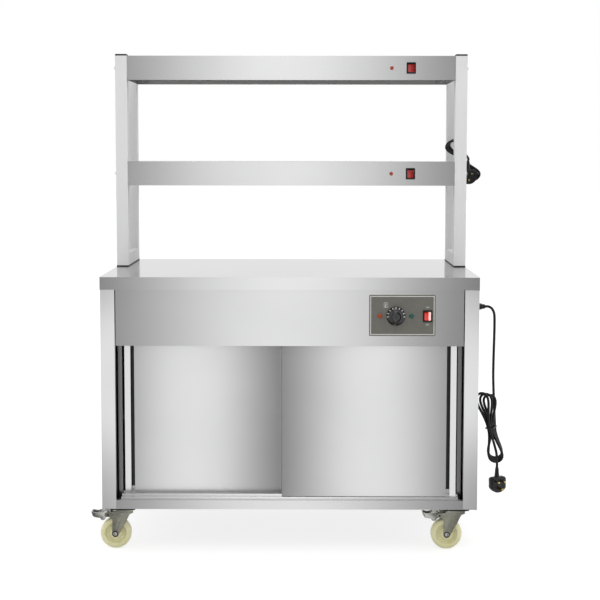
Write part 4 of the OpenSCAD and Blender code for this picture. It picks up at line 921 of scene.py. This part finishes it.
plates = bmesh.new()
bolt_spots = []
for cx in (-CASTOR_X, CASTOR_X):
    for cy in (-CASTOR_Y, CASTOR_Y):
        cut_part(plates, rounded_outline(80, 105, 6), PLATE_TOP, at(cx, cy, 0), 0.6, 2, PLATE_LOW)
        race = [(0, 128.3), (20.5, 128.3), (22, 129.5), (22, 131.2), (20.4, 132.2), (22, 133.2),
                (22, 135.0), (21, 136.1), (0, 136.1)]
        turned_part(plates, race, at(cx, cy, 0), 48)
        rivet = [(0, 120.7), (6.5, 120.7), (8.6, 121.9), (9, 123.4), (9, 124.7), (5.9, 124.7),
                 (5.9, 129), (0, 129)]
        turned_part(plates, rivet, at(cx, cy, 0), 32)
        bolt_spots += [(cx + sx * PLATE_BOLT_X, cy + sy * PLATE_BOLT_Y, PLATE_LOW)
                       for sx in (-1, 1) for sy in (-1, 1)]
plates_piece = from_bmesh("castor_top_plates", plates, plate_dark_as_shade, "cabinet", 40)
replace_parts(plates_piece, "castor_plates")
grown("castor_plate_bolts", HEADS,
      {"Sides": 6, "Radius": 0.006, "Height": 0.0035, "Dome": 0.08, "Seed": 7}, "cabinet", zinc_bright,
      bolt_spots, [(0, 0, -1)] * len(bolt_spots))


# Controls

FACE = -349.2
CONTROL_Z = 763
SWITCH_X = 435
KNOB_X = 335
SHELF_FACE = 30.0
SHELF_LAMP_X = 342.5
SHELF_SWITCH_X = 408.3
TOP_SHELF_Z = 1564
LOWER_SHELF_Z = 1205
PANEL_LAMP_RADIUS = 7.5
SHELF_LAMP_RADIUS = 6.5
# Own X to the world's Y, own Y to Z and own Z to X
ALONG = Matrix(((0, 0, 1, 0), (1, 0, 0, 0), (0, 1, 0, 0), (0, 0, 0, 1)))


def lofted(shape, loops, place, closed=False):
    """Skin over loops of points in mm, open loops capped at both ends."""
    rings = [[shape.verts.new(place @ (Vector(p) * MM)) for p in loop] for loop in loops]
    pairs = list(zip(rings, rings[1:])) + ([(rings[-1], rings[0])] if closed else [])
    for a, b in pairs:
        for k in range(len(a)):
            n = (k + 1) % len(a)
            shape.faces.new((a[k], a[n], b[n], b[k]))
    if not closed:
        shape.faces.new(rings[0])
        shape.faces.new(rings[-1])


def rim_loops(width, high, radius, profile):
    """Rounded loops from (inset, level) pairs."""
    return [[(x, y, level) for x, y in rounded_outline(width - 2 * inset, high - 2 * inset,
                                                       max(0.4, radius - inset))]
            for inset, level in profile]


def knob():
    """Skirted knob with a domed grip, moulded ribs and printed marks."""
    place = at(KNOB_X, FACE - 0.8, CONTROL_Z, TO_FRONT)
    shape = bmesh.new()
    turned_part(shape, [(3.06, 0), (29.2, 0), (30, 0.7), (30, 3.0), (29.3, 3.9), (26.0, 5.2),
                        (23.2, 6.3), (22.2, 7.4), (21.7, 9.0), (19.6, 10.2), (19.4, 21.5),
                        (18.9, 23.6), (17.4, 25.4), (15.4, 26.5), (13.2, 27.0), (9.6, 26.9),
                        (8.9, 26.2), (8.4, 25.9), (0, 25.9), (0, 23), (3.06, 23), (3.06, 0)],
                place, 96)
    piece = from_bmesh("dial_knob", shape, knob_black, "knob", 30)
    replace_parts(piece, "thermostat_knob")
    ribs = grown("knob_grip_ribs", RING,
                 {"Count": 28, "Radius": 0.0193, "First": 0.0, "Step": 2 * math.pi / 28,
                  "Size": (0.0014, 0.0016, 0.0105), "Level": 0.0155}, "knob", knob_black, matrix=place)
    grown("knob_dial_marks", RING,
          {"Count": 9, "Radius": 0.0262, "First": math.radians(-4), "Step": math.radians(188 / 8),
           "Size": (0.0052, 0.0026, 0.0012), "Level": 0.0055}, "knob", print_white, matrix=place)


def indicator(name, place, radius, lens):
    """Lens of a lamp: a flange of that radius round a dome, on a stem."""
    shape = bmesh.new()
    k = radius / PANEL_LAMP_RADIUS
    turned_part(shape, [(0, -18), (5, -18), (5, 0), (7.5 * k, 0), (7.5 * k, 1.5), (6.9 * k, 2.2),
                        (5.9 * k, 2.4), (5.6 * k, 3.0), (4.9 * k, 3.9), (3.4 * k, 4.6),
                        (1.7 * k, 4.9), (0, 5.0)], place, 40)
    return from_bmesh(name, shape, lens, "cabinet", 50)


BEZEL_WALL = 4.5
ROCKER_GAP = 0.4
ROCKER_TIP = 8


def rocker_switch(name, x, y, z, width, high, frame_nodes, rocker_node, body, lens):
    """Bezel with a hollow shell behind it, and a rocker with a scooped face and an ON mark."""
    place = at(x, y, z, TO_FRONT)
    shape = bmesh.new()
    window = (width - 2 * BEZEL_WALL, high - 2 * BEZEL_WALL)
    bezel = [(0, 0), (0, 1.5), (0.35, 2.2), (1.1, 2.5), (BEZEL_WALL - 0.9, 2.5),
             (BEZEL_WALL - 0.2, 2.1), (BEZEL_WALL, 1.4), (BEZEL_WALL, -18), (2.1, -18), (2.1, -22),
             (2.1, 0)]
    lofted(shape, rim_loops(width, high, 2.5, bezel), place, True)
    lofted(shape, rim_loops(width, high, 2.5, [(2.2, -19.5), (2.2, -22)]), place)
    frame_piece = from_bmesh(name + "_bezel", shape, abs_black, "cabinet", 40)
    for node in frame_nodes:
        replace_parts(frame_piece, node)
    half_w = window[0] / 2 - ROCKER_GAP
    half_h = window[1] / 2 - 2 * ROCKER_GAP - 1.5
    section = [(-6.4 - 3.0 * (k / 8) ** 2, half_h * k / 8) for k in range(8, -9, -1)]
    section += [(2, -half_h), (7, -half_h / 2), (7, half_h / 2), (2, half_h)]
    pivot = at(x, y + 5, z)
    shape = bmesh.new()
    cut_part(shape, section, half_w, pivot @ Matrix.Rotation(math.radians(ROCKER_TIP), 4, "X") @ ALONG,
             0.7, 3, -half_w)
    turned_part(shape, [(1.6, half_w + 2.4), (1.6, -half_w - 2.4)], pivot @ TO_RIGHT, 20)
    rocker_piece = from_bmesh(name + "_rocker", shape, lens, body, 35)
    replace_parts(rocker_piece, rocker_node)
    marks = bmesh.new()
    leaned = Matrix.Rotation(math.radians(ROCKER_TIP - 17), 4, "X") @ TO_FRONT
    cut_part(marks, rounded_outline(1.1, 4.2, 0.5), 0.25, at(x, y - 2.2, z + half_h * 0.62) @ leaned,
             0.0, 1, -1.5)
    from_bmesh(name + "_on_mark", marks, print_white, body, 40)


def words(name, text, x, z):
    """Printed word on the control panel, with just enough thickness to show."""
    data = bpy.data.curves.new(name, "FONT")
    data.body = text
    data.size = 6.6 * MM
    data.extrude = 0.00008
    data.align_x = "CENTER"
    data.align_y = "CENTER"
    obj = bpy.data.objects.new(name, data)
    bpy.context.scene.collection.objects.link(obj)
    graph = bpy.context.evaluated_depsgraph_get()
    mesh = bpy.data.meshes.new_from_object(obj.evaluated_get(graph))
    bpy.data.objects.remove(obj)
    mesh.transform(at(x, FACE - 0.1, z, TO_FRONT))
    mesh.materials.clear()
    mesh.materials.append(print_white)
    piece = bpy.data.objects.new(name, mesh)
    bpy.context.scene.collection.objects.link(piece)
    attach(piece, "cabinet")


knob()
for lamp_node, x, lens in (("heat_lamp", 285, amber_lens), ("power_lamp", 384.6, green_lens)):
    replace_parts(indicator(lamp_node + "_lens", at(x, FACE, CONTROL_Z, TO_FRONT), PANEL_LAMP_RADIUS, lens),
                lamp_node)
shelf_lenses = [indicator(shelf + "_shelf_lamp_lens", at(SHELF_LAMP_X, SHELF_FACE, z, TO_FRONT),
                          SHELF_LAMP_RADIUS, amber_lens)
                for shelf, z in (("top", TOP_SHELF_Z), ("lower", LOWER_SHELF_Z))]
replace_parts(shelf_lenses[0], "gantry_lamps")
rocker_switch("panel_switch", SWITCH_X, FACE, CONTROL_Z, 30, 38, ["switch_frame"], "switch_rocker",
              "rocker", red_rocker)
rocker_switch("top_shelf_switch", SHELF_SWITCH_X, SHELF_FACE, TOP_SHELF_Z, 32, 39,
              ["gantry_switch_frames"], "gantry_rocker_top", "rocker_top", dark_red_rocker)
rocker_switch("lower_shelf_switch", SHELF_SWITCH_X, SHELF_FACE, LOWER_SHELF_Z, 32, 39, [],
              "gantry_rocker_lower", "rocker_lower", dark_red_rocker)
words("switch_word_on", "ON", SWITCH_X, 790.5)
words("switch_word_off", "OFF", SWITCH_X, 735.5)

border = bmesh.new()
lofted(border, rim_loops(209, 130, 3, [(3.6, 0), (3.9, 0.7), (5.5, 0.7), (5.8, 0)]),
       at(355.4, FACE, 765, TO_FRONT), True)
from_bmesh("panel_raised_border", border, print_white, "cabinet", 40)

# Thermometer in a frame: its tube, its bulb and three marks
SIGN_THICK = 0.12
sign = bmesh.new()
sign_place = at(303.4, FACE, 798, TO_FRONT)
lofted(sign, rim_loops(13, 16.5, 1.5, [(0, 0), (0, SIGN_THICK), (0.8, SIGN_THICK), (0.8, 0)]),
       sign_place, True)
cut_part(sign, rounded_outline(2.0, 9.0, 0.9), SIGN_THICK, sign_place @ at(-1.2, 1.0, 0))
bulb = [(2.2 * math.cos(k * math.pi / 8), 2.2 * math.sin(k * math.pi / 8)) for k in range(16)]
cut_part(sign, bulb, SIGN_THICK, sign_place @ at(-1.2, -4.0, 0))
for k in range(3):
    cut_part(sign, rounded_outline(2.4, 0.8, 0.3), SIGN_THICK, sign_place @ at(2.6, -1.5 + 2.6 * k, 0))
from_bmesh("heat_control_sign", sign, print_white, "cabinet", 40)


# Doors: black sheets line the finger pulls, painted shade in the recesses

PULL_LOW = 199
PULL_HIGH = 689.8

for name, body, side, y in (("front", "door_front", 1, -326), ("rear", "door_rear", -1, -291)):
    trough = bmesh.new()
    line = [(side * 511.9, y + 0.5), (side * 511.9, y + 13.9), (side * 500.1, y + 13.9),
            (side * 500.1, y + 0.5)]
    cut_part(trough, strip_outline(line, 0.45 * side), PULL_HIGH, Matrix.Identity(4), 0.0, 1, PULL_LOW)
    from_bmesh(name + "_pull_painted_shade", trough, abs_black, body, 30)


# Gantry: domed caps, bolt heads and nuts

POST_PLACES_X = (-580, 580)
POST_PLACES_Y = (50, 300)
TUBE_TOP = 1605
BOLT_HEAD_X = 600
NUT_X = 558.2

caps = bmesh.new()
for x in POST_PLACES_X:
    for y in POST_PLACES_Y:
        lofted(caps, rim_loops(40, 40, 3, [(0.2, 0), (0, 0.4), (0, 4.2), (0.5, 5.2), (1.6, 5.9), (3.2, 6.0)]),
               at(x, y, TUBE_TOP))
        lofted(caps, rim_loops(35.4, 35.4, 1, [(0, -12), (0, 0)]), at(x, y, TUBE_TOP))
cap_piece = from_bmesh("tube_end_caps", caps, cap_black, "cabinet", 40)
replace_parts(cap_piece, "tube_caps")

bolt_sites = [(side, y, z) for side in (-1, 1) for y in POST_PLACES_Y
              for z in (TOP_SHELF_Z, LOWER_SHELF_Z)]
bolt_heads = grown("gantry_bolt_heads", HEADS,
                   {"Sides": 24, "Radius": 0.0072, "Height": 0.0028, "Dome": 0.28, "Seed": 3}, "cabinet",
                   zinc_bright, [(side * BOLT_HEAD_X, y, z) for side, y, z in bolt_sites],
                   [(side, 0, 0) for side, y, z in bolt_sites])
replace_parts(bolt_heads, "gantry_bolts")
nuts = grown("gantry_bolt_nuts", HEADS,
             {"Sides": 6, "Radius": 0.0072, "Height": 0.0064, "Dome": 0.12, "Seed": 5}, "cabinet",
             zinc_bright, [(side * NUT_X, y, z) for side, y, z in bolt_sites],
             [(-side, 0, 0) for side, y, z in bolt_sites])


# Glands, ties and plugs on the cords

def gland(shape, place):
    """Nuts on both sides of the sheet, and a ribbed sleeve that narrows towards the cord."""
    hexagon = [(12 * math.cos(math.radians(60 * k)), 12 * math.sin(math.radians(60 * k))) for k in range(6)]
    cut_part(shape, hexagon, 5.6, place, 0.7, 2, 0)
    cut_part(shape, hexagon, -1.5, place, 0.7, 2, -10)
    turned_part(shape, [(7.8, 1), (7.8, -12)], place, 32)
    turned_part(shape, [(10.4, 5.4), (11.0, 6.2), (11.0, 8.6), (10.3, 9.3), (9.9, 9.6), (9.9, 14.2),
                        (9.2, 15.4), (8.4, 16.0), (8.4, 17.2), (7.5, 17.6), (7.5, 19.4), (7.9, 19.8),
                        (7.9, 21.2), (6.8, 21.6), (6.8, 23.2), (7.2, 23.5), (7.2, 24.7), (6.1, 25.1),
                        (5.6, 26.6), (4.5, 27.0), (4.3, 26.0)], place, 40)


def cord_fittings(name, gland_spot, hank_spot, tilt, turned, tie_width):
    """Gland at a cord's start, and the tie round the waist of its hank."""
    fitting = bmesh.new()
    gland(fitting, at(*gland_spot, TO_RIGHT))
    gland_piece = from_bmesh(name + "_gland", fitting, plug_black, "cabinet", 35)
    spot = (at(*hank_spot) @ Matrix.Rotation(math.radians(turned), 4, "Z")
            @ Matrix.Rotation(math.radians(tilt), 4, "Y"))
    tie = bmesh.new()
    band = [(0, -1.7), (0.3, -2), (1.1, -2), (1.2, -1.7), (1.2, 1.7), (1.1, 2), (0.3, 2), (0, 1.7)]
    lofted(tie, rim_loops(tie_width, 39.4, 4, band), spot, True)
    tie_piece = from_bmesh(name + "_tie", tie, tie_black, "cabinet", 40)
    return [gland_piece, tie_piece]


power_held = cord_fittings("power_cord", POWER_START, POWER_HANK, tilt=-6, turned=POWER_TURNED,
                           tie_width=29)
gantry_held = cord_fittings("gantry_cord", GANTRY_START, GANTRY_HANK, tilt=-32, turned=0,
                            tie_width=21.2)
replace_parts(power_held[0], "cord_glands")
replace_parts(power_held[1], "cord_ties")

PLUG_HALF_WIDTH = 27
PLUG_HALF_HEIGHT = 25.5
PLUG_CORNER = 9
FOOT_BOW = 31.5
FOOT_CENTRE = 5.5
PLUG_DROP = -53.5
PIN_X = 11.1
PIN_Y = 11.5
EARTH_Y = -10.7


def plug_outline(shrink, steps=64):
    """Rounded square with a bowed foot, as a three-pin plug has, found along each ray by
    halving."""
    def inside(x, y):
        dx, dy = abs(x) - PLUG_HALF_WIDTH + PLUG_CORNER, abs(y) - PLUG_HALF_HEIGHT + PLUG_CORNER
        out = math.hypot(max(dx, 0), max(dy, 0)) + min(max(dx, dy), 0) - PLUG_CORNER
        return out < 0 and math.hypot(x, y - FOOT_CENTRE) < FOOT_BOW
    points = []
    for k in range(steps):
        a = 2 * math.pi * k / steps
        low, high = 0.0, 60.0
        for _ in range(24):
            mid = (low + high) / 2
            low, high = (mid, high) if inside(mid * math.cos(a), mid * math.sin(a)) else (low, mid)
        points.append(((low - shrink) * math.cos(a), (low - shrink) * math.sin(a)))
    return points


def plug(name, x, y, z, turned):
    """Plug hanging from its cord: body, ribbed sleeve round the cord, pins and their sleeves."""
    hung = at(x, y, z) @ Matrix.Rotation(math.radians(turned), 4, "Z")
    body_place = hung @ at(0, 0, PLUG_DROP, TO_FRONT)
    shape = bmesh.new()
    lofted(shape, [[(px, py, level) for px, py in plug_outline(shrink)] for shrink, level in
                   ((10.5, 12.4), (10.2, 13.0), (1.8, 13.0), (0.5, 12.5), (0, 11.4), (0, -1.8), (0.6, -3.4),
                    (4.4, -12.2), (5.8, -14.2), (8.0, -15.0))], body_place)
    cut_part(shape, rounded_outline(15, 22, 2), 12.9, body_place @ at(0, 1.5, 0), 0.4, 2, 11)
    r = 4.25
    rings = [(r, 0.3), (r + 0.8, 0), (r + 1.0, -1.0)]
    for k in range(4):
        top = -3.0 - 5.4 * k
        rings += [(r + 1.0 + 0.35 * k, top), (r + 1.9 + 0.4 * k, top - 0.5), (r + 2.1 + 0.4 * k, top - 2.6),
                  (r + 1.2 + 0.4 * k, top - 3.2)]
    rings += [(r + 3.2, -24.5), (r + 4.6, -31), (r + 3, -33)]
    turned_part(shape, rings, hung, 32)
    body = from_bmesh(name + "_moulding", shape, plug_black, "cabinet", 35)
    pins = bmesh.new()
    sleeves = bmesh.new()
    for px in (-PIN_X, PIN_X):
        pin_place = body_place @ at(px, PIN_Y, 0)
        cut_part(pins, rounded_outline(6.35, 3.95, 0.5), 30.7, pin_place, 0.5, 2, 12)
        cut_part(sleeves, rounded_outline(6.5, 4.1, 0.5), 22.2, pin_place, 0.2, 1, 12)
    cut_part(pins, rounded_outline(3.95, 7.95, 0.5), 35.7, body_place @ at(0, EARTH_Y, 0), 0.5, 2, 12)
    pin_piece = from_bmesh(name + "_pins", pins, brass, "cabinet", 40)
    sleeve_piece = from_bmesh(name + "_pin_sleeves", sleeves, abs_black, "cabinet", 40)
    return [body, pin_piece, sleeve_piece]


power_end = plug("power_plug", *POWER_PLUG, turned=25)
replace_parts(power_end[0], "plug_body")
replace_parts(power_end[1], "plug_pins")
gantry_end = plug("gantry_plug", *GANTRY_PLUG, turned=0)
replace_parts(gantry_end[0], "gantry_plug")

bpy.context.view_layer.update()
